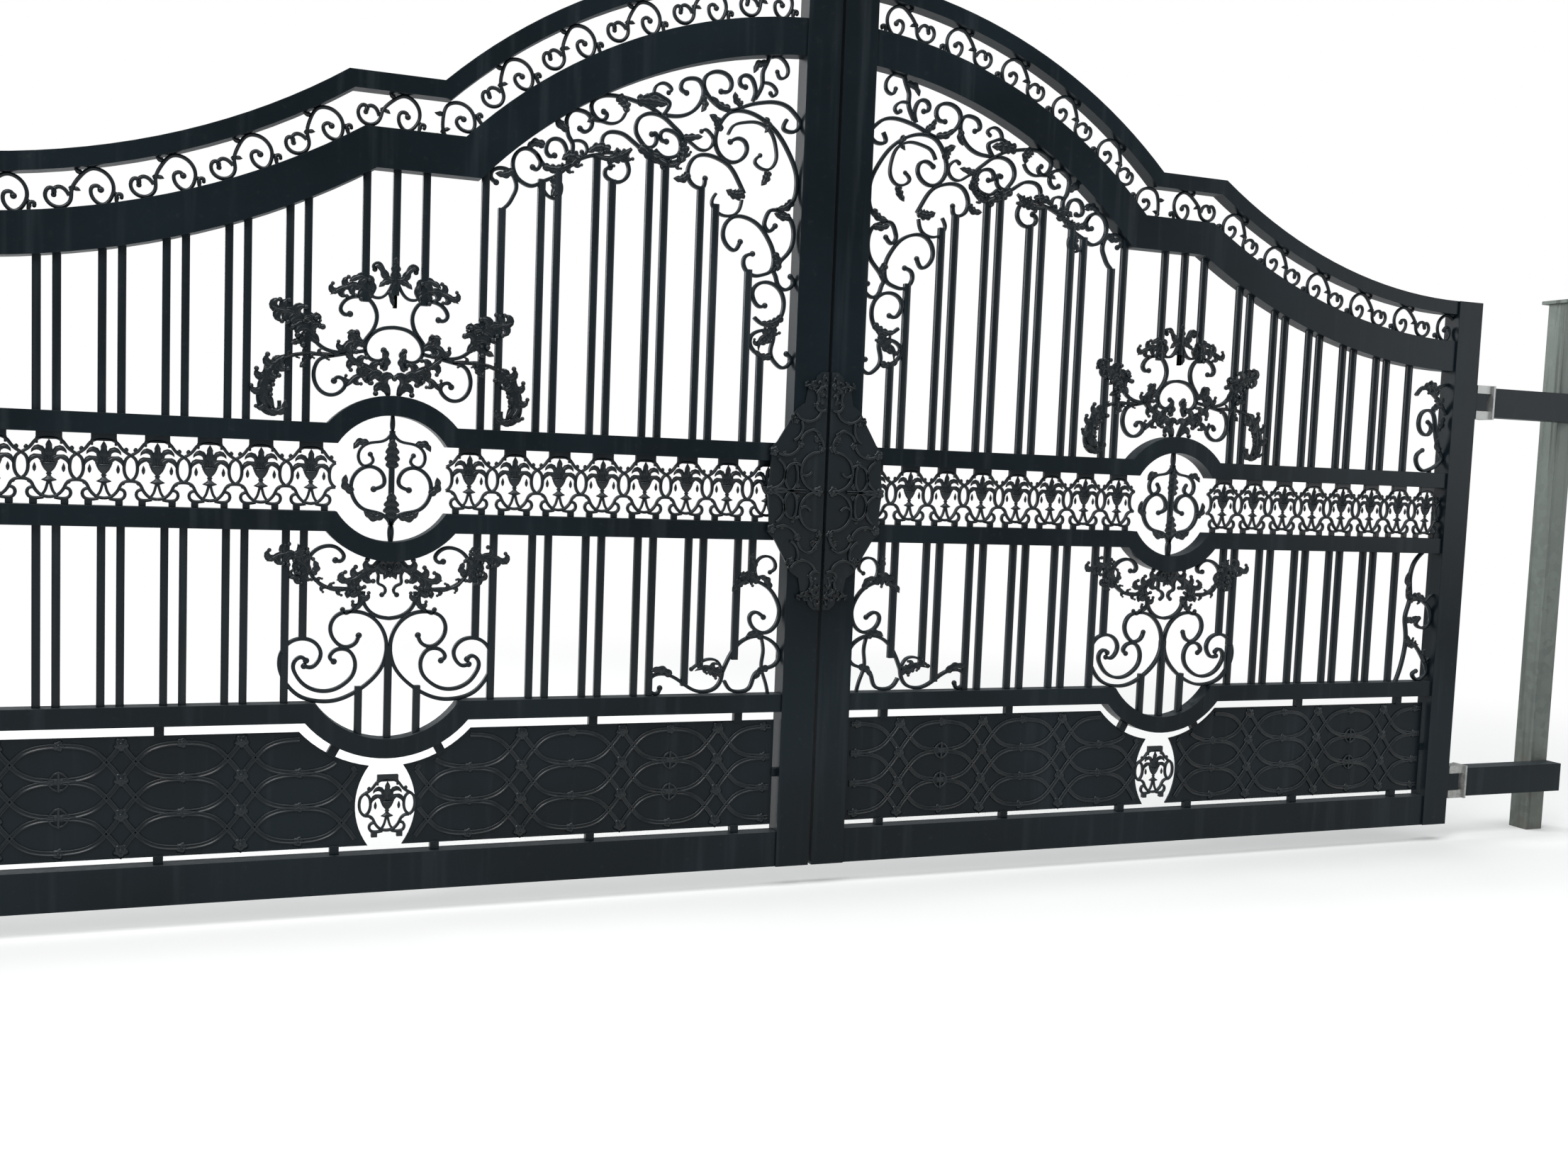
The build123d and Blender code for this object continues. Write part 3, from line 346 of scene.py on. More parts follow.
# Panel: two sheets round the lower rail's dip and a pointed oval, with lenses raised on their front
SHEET_LOW = 128.0
SHEET_HIGH = 422.0
SHEET_INSET = 21.0       # from the stiles
DIP_GAP = 26.0
OVAL_R = 185.0           # radius of the oval's two arcs, and how far their centres stand from its middle
OVAL_REACH = 107.0
OVAL_Z = 228.0
PATTERN_CLEAR = 9.0      # between the pattern and the sheets' inner edges
SHEET_FRONT = 3.0
SUNK = 0.1               # how far the raised pattern goes into the sheet
HALF_LENS = 141.5        # half the pitch of the lens columns
FIRST_LENS = 220.0       # from the leaf's middle to the first column
LENS_QUARTER = [(0, 43.5), (30, 42), (60, 36), (85, 23.5), (108, 0), (125, -21), (HALF_LENS, -45)]
LENS_ROWS = (185.5, 276.1, 366.7)
FLOWER_ROWS = (140.2, 230.8, 321.4, 410.0)
LENS_RIDGE = [(-7.0, 0), (-6.6, 3.4), (-5.0, 5.0), (-3.0, 4.2), (-1.6, 1.6), (1.6, 1.6), (3.0, 4.2),
              (5.0, 5.0), (6.6, 3.4), (7.0, 0)]
CLASP_RING = [(-26, 2), (-16, 17), (0, 25), (16, 17), (26, 2)]
CLASP_RIDGE = [(-3.4, 0), (-2.4, 5), (2.4, 5), (3.4, 0)]

# Lock plate: the upper part of one half, from its middle height. The lower part is its mirror image.
# An arc is (u, z, radius, start, end) in degrees, and a knot is (u, z, size).
LOCK_HALF_W = 172.0
LOCK_EDGE = [(LOCK_HALF_W + 4, 0), (LOCK_HALF_W, 20), (LOCK_HALF_W - 4, 60), (LOCK_HALF_W - 6, 104),
             (LOCK_HALF_W + 2, 116), (LOCK_HALF_W - 22, 138), (106, 212), (96, 232), (70, 250), (63, 288),
             (44, 302), (36, 328), (20, 342), (0, 342)]
LOCK_BACK = 32.0
LOCK_FRONT = 38.0
KNOT_SUNK = 0.5          # how far the rosettes and the raised lines go into the plate
TRACERY_SUNK = 0.2
LOCK_ARCS = [(20, 57, 56, -92, 92), (168, 50, 45, 118, 268), (125, 146, 46, 200, 298),
             (118, 182, 42, 156, 246), (60, 240, 41, 198, 332)]
LOCK_RUNS = [
    [(77, 73), (88, 78), (99, 78), (111, 73), (121, 58), (125, 40), (122, 24), (114, 9), (101, 1)],
    [(94, 79), (88, 62), (86, 40), (89, 18), (101, 1)],
    [(80, 146), (68, 165), (54, 173), (40, 176), (30, 170), (18, 163)],
    [(74, 50), (62, 44), (51, 47), (43, 55)],
    [(38, 248), (28, 232), (16, 230), (6, 234)],
    [(36, 248), (31, 262), (33, 280), (25, 294), (12, 300)],
    [(60, 1), (84, 1), (112, 1), (128, 4), (160, 2)],
    [(20, 112), (12, 120), (10, 134), (16, 148), (30, 168)],
]
LOCK_RIDGE = [(-4.0, 0), (-3.8, 5.4), (-2.4, 7.6), (2.4, 7.6), (3.8, 5.4), (4.0, 0)]
LOCK_KNOTS = [(78, 134, 0.9), (95, 86, 0.6), (84, 15, 0.8), (94, 200, 0.8), (28, 152, 0.8), (12, 124, 0.9),
              (60, 198, 0.5), (126, 104, 0.6), (36, 246, 0.6), (11, 303, 0.8), (158, 110, 1.1)]
LOCK_MIDDLE_KNOTS = [(166, 0, 1.1), (18, 0, 1.2)]
LOCK_SPRAYS = [
    ([(14, 246), (22, 272), (20, 304), (14, 336)], 14, 3),
    ([(30, 296), (48, 302), (76, 298)], 12, 2),
    ([(98, 196), (104, 206), (112, 210)], 9, 2),
    ([(34, 158), (24, 148), (12, 142)], 10, 2),
]

# Cast leaf: its section as (share of its half width, height over its face in mm), with the rib at 0
LEAF_SECTION = ((-1.0, -0.21), (-0.72, -1.1452), (-0.3, -0.763), (0.0, 2.2), (0.3, -0.763), (0.72, -1.1452),
                (1.0, -0.21))
LEAF_THICK = 3.2
RIB_THICK = 2.0          # added to that under the rib
LEAF_OFF_AXIS = 0.025    # metres from a group's upright that a leaf reaches if it has a mirror image

# Tones laid over the colours below: rain marks and dust that the weather adds, and soil with painted shade at
# the foot of the galvanised pieces
RAIN_TONE = (0.040, 0.050, 0.058)
DUST_TONE = (0.062, 0.070, 0.072)
# Brown laid at the foot of the galvanised pieces: a soil tint together with painted shade
SOIL_AND_SHADE_TONE = (0.090, 0.055, 0.032)

# Studio: metres and watts. A lamp is its name, place, aim, size and power.
STUDIO_MIDDLE = (2.9, 0.0, 0.0)
FLOOR_HALF = 60.0
FLOOR_FADE = (2.6, 6.5)  # how far from its middle the floor starts to turn white, and is white
AIR_COLOUR = (0.90, 0.95, 1.0)
AIR_STRENGTH = 0.34
LAMPS = (
    ("key", (-1.5, -4.0, 6.0), (2.9, 0.0, 1.0), 3.0, 300.0),
    ("sky", (2.9, -0.6, 6.8), (2.9, 0.0, 0.8), 8.0, 620.0),
    ("rim", (-3.0, 6.5, 4.0), (2.6, 0.0, 1.3), 5.0, 420.0),
    ("fill", (9.0, -3.5, 2.2), (3.6, 0.0, 1.0), 3.0, 60.0),
)

# Camera: place in metres, yaw, pitch and roll in degrees, focal length and width in the photograph's pixels
CAMERA_PLACE = (1.1470, -4.2134, 1.2266)
CAMERA_TURN = (22.0211, -4.5238, 2.2700)
FOCAL_PIXELS = 2187.11
PHOTO_PIXELS = 2212.0
SENSOR_W = 36.0


# Sizes and colours that a user may change

class GateSizes(bpy.types.PropertyGroup):
    iron_w: FloatProperty(name="Scroll width", description="Width of the scroll iron seen from the front",
                          default=0.0095, min=0.004, max=0.03, unit="LENGTH")
    iron_d: FloatProperty(name="Scroll depth", description="Depth of the scroll iron",
                          default=0.016, min=0.004, max=0.04, unit="LENGTH")
    fine_w: FloatProperty(name="Light scroll width", description="Width of the lighter scrolls",
                          default=0.0072, min=0.003, max=0.02, unit="LENGTH")
    stem_w: FloatProperty(name="Medallion stem width", description="Width of the stem in the medallion",
                          default=0.014, min=0.004, max=0.03, unit="LENGTH")
    ball_r: FloatProperty(name="Scroll end radius", description="Radius of the ball at a scroll's end",
                          default=0.0085, min=0.004, max=0.03, unit="LENGTH")
    bar_w: FloatProperty(name="Bar width", description="Side of the square bars",
                         default=0.019, min=0.008, max=0.04, unit="LENGTH")
    edge: FloatProperty(name="Edge radius", description="Radius of the worn edges of the bars and irons",
                        default=0.0016, min=0.0, max=0.004, unit="LENGTH")
    strap_w: FloatProperty(name="Urn strap width", description="Width of the strap of the urn castings",
                           default=0.0078, min=0.004, max=0.02, unit="LENGTH")
    strap_d: FloatProperty(name="Urn strap depth", description="Depth of the strap of the urn castings",
                           default=0.013, min=0.004, max=0.03, unit="LENGTH")
    crown_w: FloatProperty(name="Crown scroll width", description="Width of the scrolls under the crown rail",
                           default=0.009, min=0.004, max=0.02, unit="LENGTH")
    crown_d: FloatProperty(name="Crown scroll depth", description="Depth of the scrolls under the crown rail",
                           default=0.012, min=0.004, max=0.03, unit="LENGTH")


class GateColours(bpy.types.PropertyGroup):
    coat: FloatVectorProperty(name="Powder coat", description="Colour of the near-black coat",
                              default=(0.0042, 0.0082, 0.0110), size=3, subtype="COLOR", min=0.0, max=1.0)
    zinc: FloatVectorProperty(name="Galvanised fittings", description="Colour of the zinc on the fittings",
                              default=(0.36, 0.37, 0.36), size=3, subtype="COLOR", min=0.0, max=1.0)
    tube: FloatVectorProperty(name="Galvanised posts", description="Colour of the dull zinc on the posts",
                              default=(0.118, 0.136, 0.124), size=3, subtype="COLOR", min=0.0, max=1.0)
    floor: FloatVectorProperty(name="Floor", description="Colour of the studio floor",
                               default=(0.80, 0.80, 0.79), size=3, subtype="COLOR", min=0.0, max=1.0)


# Materials

class Value:
    """A shader socket that takes part in Python arithmetic."""

    def __init__(self, finish, socket):
        self.finish = finish
        self.socket = socket

    def maths(self, operation, a, b):
        return self.finish.node("ShaderNodeMath", {"operation": operation}, {0: a, 1: b})

    def __add__(self, other):
        return self.maths("ADD", self, other)

    def __radd__(self, other):
        return self.maths("ADD", other, self)

    def __sub__(self, other):
        return self.maths("SUBTRACT", self, other)

    def __rsub__(self, other):
        return self.maths("SUBTRACT", other, self)

    def __mul__(self, other):
        return self.maths("MULTIPLY", self, other)

    def __rmul__(self, other):
        return self.maths("MULTIPLY", other, self)

    def clamp(self):
        return self.finish.node("ShaderNodeClamp", {}, {0: self})


class Finish:
    """A material, or the world, whose node tree is written as expressions."""

    def __init__(self, owner):
        self.owner = owner
        owner.use_nodes = True
        self.tree = owner.node_tree
        self.tree.nodes.clear()

    def node(self, kind, settings, values, out=0):
        made = self.tree.nodes.new(kind)
        for key, value in settings.items():
            setattr(made, key, value)
        for key, value in values.items():
            port = made.inputs[key]
            if isinstance(value, Value):
                self.tree.links.new(value.socket, port)
            elif port.type == "RGBA":
                port.default_value = (*value, 1.0)
            else:
                port.default_value = value
        return Value(self, made.outputs[out]) if made.outputs else None

    def place(self):
        return self.node("ShaderNodeTexCoord", {}, {}, "Object")

    def noise(self, scale, detail=3.0, roughness=0.5, stretch=(1.0, 1.0, 1.0)):
        where = self.node("ShaderNodeMapping", {}, {"Vector": self.place(), "Scale": stretch})
        return self.node("ShaderNodeTexNoise", {},
                         {"Vector": where, "Scale": scale, "Detail": detail, "Roughness": roughness})

    def ramp(self, value, low, high):
        """Value spread from 0 at low to 1 at high."""
        return self.node("ShaderNodeMapRange", {"interpolation_type": "SMOOTHSTEP"},
                         {"Value": value, "From Min": low, "From Max": high})

    def mix(self, share, a, b):
        return self.node("ShaderNodeMix", {"data_type": "RGBA"}, {0: share, 6: a, 7: b}, 2)

    def upright(self, vector):
        """The z of a vector, such as a place's height or how far a normal faces up."""
        return self.node("ShaderNodeSeparateXYZ", {}, {0: vector}, 2)

    def normal(self):
        return self.node("ShaderNodeNewGeometry", {}, {}, "Normal")

    def surface(self, colour, roughness, metallic, relief, strength, distance, rounding, specular=0.5):
        """The finished material, bumped by the relief and with its edges eased where rounding isn't 0."""
        bump = {"Height": relief, "Strength": strength, "Distance": distance}
        if rounding:
            bump["Normal"] = self.node("ShaderNodeBevel", {"samples": 4}, {"Radius": rounding})
        shader = self.node("ShaderNodeBsdfPrincipled", {}, {
            "Base Color": colour, "Roughness": roughness, "Metallic": metallic,
            "Specular IOR Level": specular, "Normal": self.node("ShaderNodeBump", {}, bump)})
        self.node("ShaderNodeOutputMaterial", {}, {"Surface": shader})
        return self.owner


def shade(colour, share):
    """A colour made darker or lighter."""
    return tuple(share * c for c in colour)


def coat_finish(name, colour, dust_share, rounding, specular):
    """Satin powder coat: a faint orange peel, lighter patches, rain marks, and dust where it faces up."""
    f = Finish(bpy.data.materials.new(name))
    broad = f.noise(2.2, 4.0)
    fine = f.noise(55.0, 5.0, 0.6)
    peel = f.noise(420.0, 2.0)
    specks = f.ramp(f.noise(900.0, 1.0), 0.70, 0.78)
    rain = f.ramp(f.noise(26.0, 3.0, 0.55, (1.0, 1.0, 0.05)), 0.52, 0.74)
    settled = f.ramp(f.upright(f.normal()), 0.55, 0.95) * f.ramp(fine, 0.30, 0.66)
    dust = (settled * dust_share + specks * 0.05 + f.ramp(fine, 0.60, 0.80) * dust_share * 0.25).clamp()
    tone = f.mix(f.ramp(broad, 0.35, 0.68), shade(colour, 0.80), shade(colour, 1.24))
    tone = f.mix(rain * 0.16, tone, RAIN_TONE)
    tone = f.mix(dust, tone, DUST_TONE)
    rough = (0.31 + (broad - 0.5) * 0.14 + (fine - 0.5) * 0.10 + dust * 0.30 + rain * 0.08).clamp()
    return f.surface(tone, rough, 0.0, peel + fine * 0.6, 0.16, 0.0006, rounding, specular)


def zinc_finish(name, colour, streaks, rounding):
    """Galvanised steel: cells of spangle, dull runs down the face and a little brown at the foot, which is
    soil with painted shade.
    """
    f = Finish(bpy.data.materials.new(name))
    cells = f.node("ShaderNodeTexVoronoi", {"feature": "F1"}, {"Vector": f.place(), "Scale": 42.0}, "Color")
    spangle = f.node("ShaderNodeSeparateColor", {}, {0: cells})
    cloud = f.noise(3.5, 5.0, 0.6)
    runs = f.ramp(f.noise(30.0, 4.0, 0.6, (1.0, 1.0, 0.035)), 0.48, 0.70)
    scuff = f.noise(160.0, 3.0, 0.6)
    # Painted shade with a soil tint: patches that grow darker and browner towards the foot
    soil_and_shade_at_foot = (1.0 - f.ramp(f.upright(f.place()), 0.02, 0.45)) * f.ramp(scuff * 0.5 + cloud * 0.5, 0.42, 0.62)
    tone = f.mix(spangle * 0.5 + cloud * 0.5, shade(colour, 0.72), shade(colour, 1.25))
    tone = f.mix(runs * streaks, tone, shade(colour, 0.45))
    tone = f.mix(soil_and_shade_at_foot * 0.55, tone, SOIL_AND_SHADE_TONE)
    rough = (0.46 + (spangle - 0.5) * 0.12 + runs * 0.14 + (scuff - 0.5) * 0.10 + soil_and_shade_at_foot * 0.2).clamp()
    metal = (0.72 - soil_and_shade_at_foot * 0.5 - runs * streaks * 0.3).clamp()
    return f.surface(tone, rough, metal, scuff + spangle * 0.4, 0.10, 0.0008, rounding)


def floor_finish(colour):
    """Pale floor that keeps the gate's shadow and runs into the white backdrop further off."""
    f = Finish(bpy.data.materials.new("pale_floor"))
    tone = f.mix(f.noise(0.6, 3.0), shade(colour, 0.985), colour)
    matt = f.node("ShaderNodeBsdfPrincipled", {},
                  {"Base Color": tone, "Roughness": 0.85, "Specular IOR Level": 0.2})
    white = f.node("ShaderNodeEmission", {}, {"Color": (1.0, 1.0, 1.0), "Strength": 1.0})
    spread = f.node("ShaderNodeVectorMath", {"operation": "LENGTH"}, {0: f.place()}, 1)
    seen = f.node("ShaderNodeLightPath", {}, {}, "Is Camera Ray")
    both = f.node("ShaderNodeMixShader", {}, {0: f.ramp(spread, *FLOOR_FADE) * seen, 1: matt, 2: white})
    f.node("ShaderNodeOutputMaterial", {}, {"Surface": both})
    return f.owner


def studio_air():
    """A world that is white to the camera and a soft cool light to the gate."""
    f = Finish(bpy.data.worlds.new("studio"))
    soft = f.node("ShaderNodeBackground", {}, {"Color": AIR_COLOUR, "Strength": AIR_STRENGTH})
    white = f.node("ShaderNodeBackground", {}, {"Color": (1.0, 1.0, 1.0), "Strength": 1.0})
    seen = f.node("ShaderNodeLightPath", {}, {}, "Is Camera Ray")
    both = f.node("ShaderNodeMixShader", {}, {0: seen, 1: soft, 2: white})
    f.node("ShaderNodeOutputWorld", {}, {"Surface": both})
    return f.owner


@functools.cache
def finishes():
    """The object's materials, made once from the scene's colours."""
    colours = bpy.context.scene.gate_colours
    coat = tuple(colours.coat)
    return {
        "coat": coat_finish("powder_coat", coat, 0.45, 0.0022, 0.14),
        "bar": coat_finish("powder_coat_bars", coat, 0.35, 0.0, 0.24),
        "cast": coat_finish("powder_coat_castings", shade(coat, 0.92), 0.45, 0.0, 0.34),
        "zinc": zinc_finish("galvanised_fitting", tuple(colours.zinc), 0.35, 0.0012),
        "tube": zinc_finish("galvanised_post", tuple(colours.tube), 0.60, 0.0030),
        "floor": floor_finish(tuple(colours.floor)),
    }


# Geometry Nodes

class Tree:
    """A Geometry Nodes tree with named inputs that ends in Realize Instances and Set Material."""

    def __init__(self, name, inputs):
        self.tree = bpy.data.node_groups.new(name, "GeometryNodeTree")
        face = self.tree.interface
        face.new_socket("Geometry", in_out="INPUT", socket_type="NodeSocketGeometry")
        for label, kind in inputs.items():
            face.new_socket(label, in_out="INPUT", socket_type=kind)
        face.new_socket("Material", in_out="INPUT", socket_type="NodeSocketMaterial")
        face.new_socket("Geometry", in_out="OUTPUT", socket_type="NodeSocketGeometry")
        self.start = self.tree.nodes.new("NodeGroupInput")

    def given(self, label):
        return self.start.outputs[label]

    def node(self, kind, settings, values, out=0):
        made = self.tree.nodes.new(kind)
        for key, value in settings.items():
            setattr(made, key, value)
        for key, value in values.items():
            if isinstance(value, bpy.types.NodeSocket):
                self.tree.links.new(value, made.inputs[key])
            else:
                made.inputs[key].default_value = value
        return made.outputs[out]

    def end(self, geometry, smooth):
        real = self.node("GeometryNodeRealizeInstances", {}, {0: geometry})
        if smooth:
            real = self.node("GeometryNodeSetShadeSmooth", {}, {"Geometry": real, "Shade Smooth": True})
        dressed = self.node("GeometryNodeSetMaterial", {},
                            {"Geometry": real, "Material": self.given("Material")})
        last = self.tree.nodes.new("NodeGroupOutput")
        self.tree.links.new(dressed, last.inputs[0])
        return self.tree


@functools.cache
def iron_tree():
    """Sweeps a rectangle with eased corners along flat curves."""
    t = Tree("iron_along_a_line",
             {"Width": "NodeSocketFloat", "Depth": "NodeSocketFloat", "Corner": "NodeSocketFloat"})
    line = t.node("GeometryNodeSetCurveNormal", {"mode": "Z_UP"}, {"Curve": t.given("Geometry")})
    section = t.node("GeometryNodeCurvePrimitiveQuadrilateral", {},
                     {"Width": t.given("Width"), "Height": t.given("Depth")})
    eased = t.node("GeometryNodeFilletCurve", {"mode": "POLY"},
                   {"Curve": section, "Radius": t.given("Corner"), "Count": 1})
    swept = t.node("GeometryNodeCurveToMesh", {}, {"Curve": line, "Profile Curve": eased, "Fill Caps": True})
    return t.end(swept, False)


@functools.cache
def moulding_tree():
    """Sweeps the outline of another curve along flat curves."""
    t = Tree("moulding_along_a_line", {"Section": "NodeSocketObject"})
    line = t.node("GeometryNodeSetCurveNormal", {"mode": "Z_UP"}, {"Curve": t.given("Geometry")})
    section = t.node("GeometryNodeObjectInfo", {}, {"Object": t.given("Section")}, "Geometry")
    swept = t.node("GeometryNodeCurveToMesh", {},
                   {"Curve": line, "Profile Curve": section, "Fill Caps": True})
    return t.end(swept, True)


@functools.cache
def repeat_tree():
    """Sets a casting on each point, turned and sized by the point's own values."""
    t = Tree("casting_on_points", {"Casting": "NodeSocketObject"})
    casting = t.node("GeometryNodeObjectInfo", {}, {"Object": t.given("Casting")}, "Geometry")
    turn = t.node("GeometryNodeInputNamedAttribute", {"data_type": "FLOAT"}, {"Name": "turn"})
    size = t.node("GeometryNodeInputNamedAttribute", {"data_type": "FLOAT"}, {"Name": "size"})
    spin = t.node("ShaderNodeCombineXYZ", {}, {"Z": turn})
    placed = t.node("GeometryNodeInstanceOnPoints", {}, {
        "Points": t.given("Geometry"), "Instance": casting, "Rotation": spin, "Scale": size})
    return t.end(placed, False)


def grown(source, tree, values, material):
    """The mesh that a tree makes of an object, which is then removed."""
    modifier = source.modifiers.new("growth", "NODES")
    modifier.node_group = tree
    ids = {s.name: s.identifier for s in tree.interface.items_tree if s.in_out == "INPUT"}
    for label, value in {**values, "Material": material}.items():
        modifier[ids[label]] = value
    graph = bpy.context.evaluated_depsgraph_get()
    mesh = bpy.data.meshes.new_from_object(source.evaluated_get(graph))
    source.modifiers.clear()
    bpy.data.objects.remove(source)
    return mesh


# Lines and repeats, drawn flat in millimetres

def linked(name, data):
    """A new object in the scene."""
    made = bpy.data.objects.new(name, data)
    bpy.context.scene.collection.objects.link(made)
    return made


def rounded(points, step=4.0):
    """Points along a natural cubic spline through the given ones."""
    p = np.array(points, float)
    if len(p) < 3:
        return [tuple(q) for q in p]
    along = np.concatenate([[0], np.cumsum(np.hypot(*np.diff(p, axis=0).T))])
    h = np.diff(along)
    n = len(p)
    a = np.zeros((n, n))
    r = np.zeros((n, 2))
    a[0, 0] = a[-1, -1] = 1.0
    for i in range(1, n - 1):
        a[i, i - 1:i + 2] = h[i - 1], 2 * (h[i - 1] + h[i]), h[i]
        r[i] = 6 * ((p[i + 1] - p[i]) / h[i] - (p[i] - p[i - 1]) / h[i - 1])
    m = np.linalg.solve(a, r)
    out = []
    for s in np.linspace(0, along[-1], max(4, int(along[-1] / step)) + 1):
        i = min(n - 2, max(0, int(np.searchsorted(along, s) - 1)))
        x, y = along[i + 1] - s, s - along[i]
        bend = (m[i] * x ** 3 + m[i + 1] * y ** 3) / (6 * h[i])
        chord = (p[i] / h[i] - m[i] * h[i] / 6) * x + (p[i + 1] / h[i] - m[i + 1] * h[i] / 6) * y
        out.append(tuple(bend + chord))
    return out


def runs_inside(line, inside, least):
    """The stretches of a line whose points all lie inside, if they have at least so many points."""
    runs = [[]]
    for point in line:
        if inside(*point):
            runs[-1].append(point)
        elif runs[-1]:
            runs.append([])
    return [run for run in runs if len(run) >= least]


def lines_object(lines, depth=0.0, cyclic=False):
    """A curve object of flat polylines, in metres."""
    curve = bpy.data.curves.new("lines", "CURVE")
    curve.dimensions = "3D"
    for line in lines:
        spline = curve.splines.new("POLY")
        spline.points.add(len(line) - 1)
        for point, (u, z) in zip(spline.points, line):
            point.co = (u / 1000, z / 1000, depth / 1000, 1.0)
        spline.use_cyclic_u = cyclic
    return linked("lines", curve)


def points_object(places):
    """A mesh of loose points (u, z, d, turn, size) for a casting to stand on."""
    mesh = bpy.data.meshes.new("points")
    mesh.from_pydata([(u / 1000, z / 1000, d / 1000) for u, z, d, turn, size in places], [], [])
    for k, label in ((3, "turn"), (4, "size")):
        attribute = mesh.attributes.new(label, "FLOAT", "POINT")
        attribute.data.foreach_set("value", [p[k] for p in places])
    return linked("points", mesh)


def irons(lines, width, depth, material, edge=None):
    """Flat irons along the lines: their width, depth and edge radius are in metres."""
    if edge is None:
        edge = bpy.context.scene.gate_sizes.edge
    return grown(lines_object(lines), iron_tree(), {"Width": width, "Depth": depth, "Corner": edge}, material)


def mouldings(lines, section, material, depth=0.0):
    """A ridge of the given section along the lines."""
    outline = lines_object([[(x, -y) for x, y in section]], 0.0, True)
    mesh = grown(lines_object(lines, depth), moulding_tree(), {"Section": outline}, material)
    bpy.data.objects.remove(outline)
    return mesh


def castings(places, casting, material):
    """A casting's mesh repeated at the places."""
    model = linked("casting", casting)
    mesh = grown(points_object(places), repeat_tree(), {"Casting": model}, material)
    bpy.data.objects.remove(model)
    return mesh


# Meshes, drawn flat in millimetres and kept in metres

def baked(made, name, smooth=None):
    """A bmesh as a mesh."""
    mesh = bpy.data.meshes.new(name)
    made.to_mesh(mesh)
    made.free()
    if smooth is not None:
        mesh.polygons.foreach_set("use_smooth", [smooth] * len(mesh.polygons))
    return mesh


def joined(meshes, material):
    """One mesh of several, all of one material."""
    whole = bmesh.new()
    for mesh in meshes:
        whole.from_mesh(mesh)
    out = baked(whole, "joined")
    out.materials.append(material)
    out.polygons.foreach_set("material_index", [0] * len(out.polygons))
    return out


def moved(mesh, u, z=0.0, d=0.0):
    """The same mesh, shifted by millimetres."""
    mesh.transform(Matrix.Translation((u / 1000, z / 1000, d / 1000)))
    return mesh


def mirrored(mesh, signs=(-1, 1, 1)):
    """A mirror image, in u unless signs say otherwise, with its faces turned back out."""
    copy = mesh.copy()
    copy.transform(Matrix.Diagonal((*signs, 1)))
    copy.flip_normals()
    return copy


def solid(vertices, faces, smooth=True):
    """A closed mesh whose faces are made to point outwards."""
    made = bmesh.new()
    corners = [made.verts.new((u / 1000, z / 1000, d / 1000)) for u, z, d in vertices]
    for face in faces:
        made.faces.new([corners[i] for i in face])
    bmesh.ops.remove_doubles(made, verts=made.verts, dist=0.00002)
    bmesh.ops.recalc_face_normals(made, faces=made.faces)
    return baked(made, "solid", smooth)


def bands(rings, sides):
    """Faces between rings of corners that follow each other."""
    faces = []
    for i in range(rings - 1):
        for k in range(sides):
            n = (k + 1) % sides
            faces.append((i * sides + k, i * sides + n, (i + 1) * sides + n, (i + 1) * sides + k))
    return faces


def turned(profile, flat, sides=8):
    """A lathe form about the upright through 0, squeezed in depth by flat; profile is (radius, z)."""
    vertices = []
    for r, z in profile:
        for k in range(sides):
            a = math.tau * k / sides
            vertices.append((r * math.cos(a), z, r * math.sin(a) * flat))
    last = (len(profile) - 1) * sides
    ends = [tuple(range(sides)), tuple(range(last, last + sides))]
    return solid(vertices, bands(len(profile), sides) + ends)


def rosette(radius, lift, petals=5):
    """A flat flower with a button in the middle; its rings are shares of its radius and heights."""
    sides = petals * 4
    rings = [(0.0, lift), (0.22, lift), (0.30, 0.55 * lift), (0.62, 0.8 * lift), (1.0, 0.25 * lift),
             (1.0, 0.0)]
    vertices = []
    for r, d in rings:
        for k in range(sides):
            a = math.tau * k / sides
            petal = 1.0 - 0.30 * abs(math.cos(petals * a / 2)) ** 3 if r > 0.5 else 1.0
            vertices.append((radius * r * petal * math.cos(a), radius * r * petal * math.sin(a), d))
    back = tuple(range((len(rings) - 1) * sides, len(rings) * sides))
    return solid(vertices, bands(len(rings), sides) + [back])


def ball(radius, flat=0.86, segments=12, rings=8):
    """A forged ball, squeezed in depth by flat; its radius is in metres."""
    made = bmesh.new()
    bmesh.ops.create_uvsphere(made, u_segments=segments, v_segments=rings, radius=radius)
    bmesh.ops.scale(made, vec=(1, 1, flat), verts=made.verts)
    return baked(made, "ball", True)


def block(u0, u1, z0, z1, depth, ease=1.2):
    """A rectangular bar end with eased edges, centred in depth."""
    made = bmesh.new()
    bmesh.ops.create_cube(made, size=1.0)
    bmesh.ops.scale(made, vec=((u1 - u0) / 1000, (z1 - z0) / 1000, depth / 1000), verts=made.verts)
    bmesh.ops.translate(made, vec=((u0 + u1) / 2000, (z0 + z1) / 2000, 0), verts=made.verts)
    bmesh.ops.bevel(made, geom=made.edges[:], offset=ease / 1000, segments=1, affect="EDGES", profile=0.5)
    return baked(made, "block")


def heading(line, i, reach):
    """Which way a line runs at its i-th point."""
    a, b = line[max(0, i - reach)], line[min(len(line) - 1, i + reach)]
    return math.atan2(b[1] - a[1], b[0] - a[0])


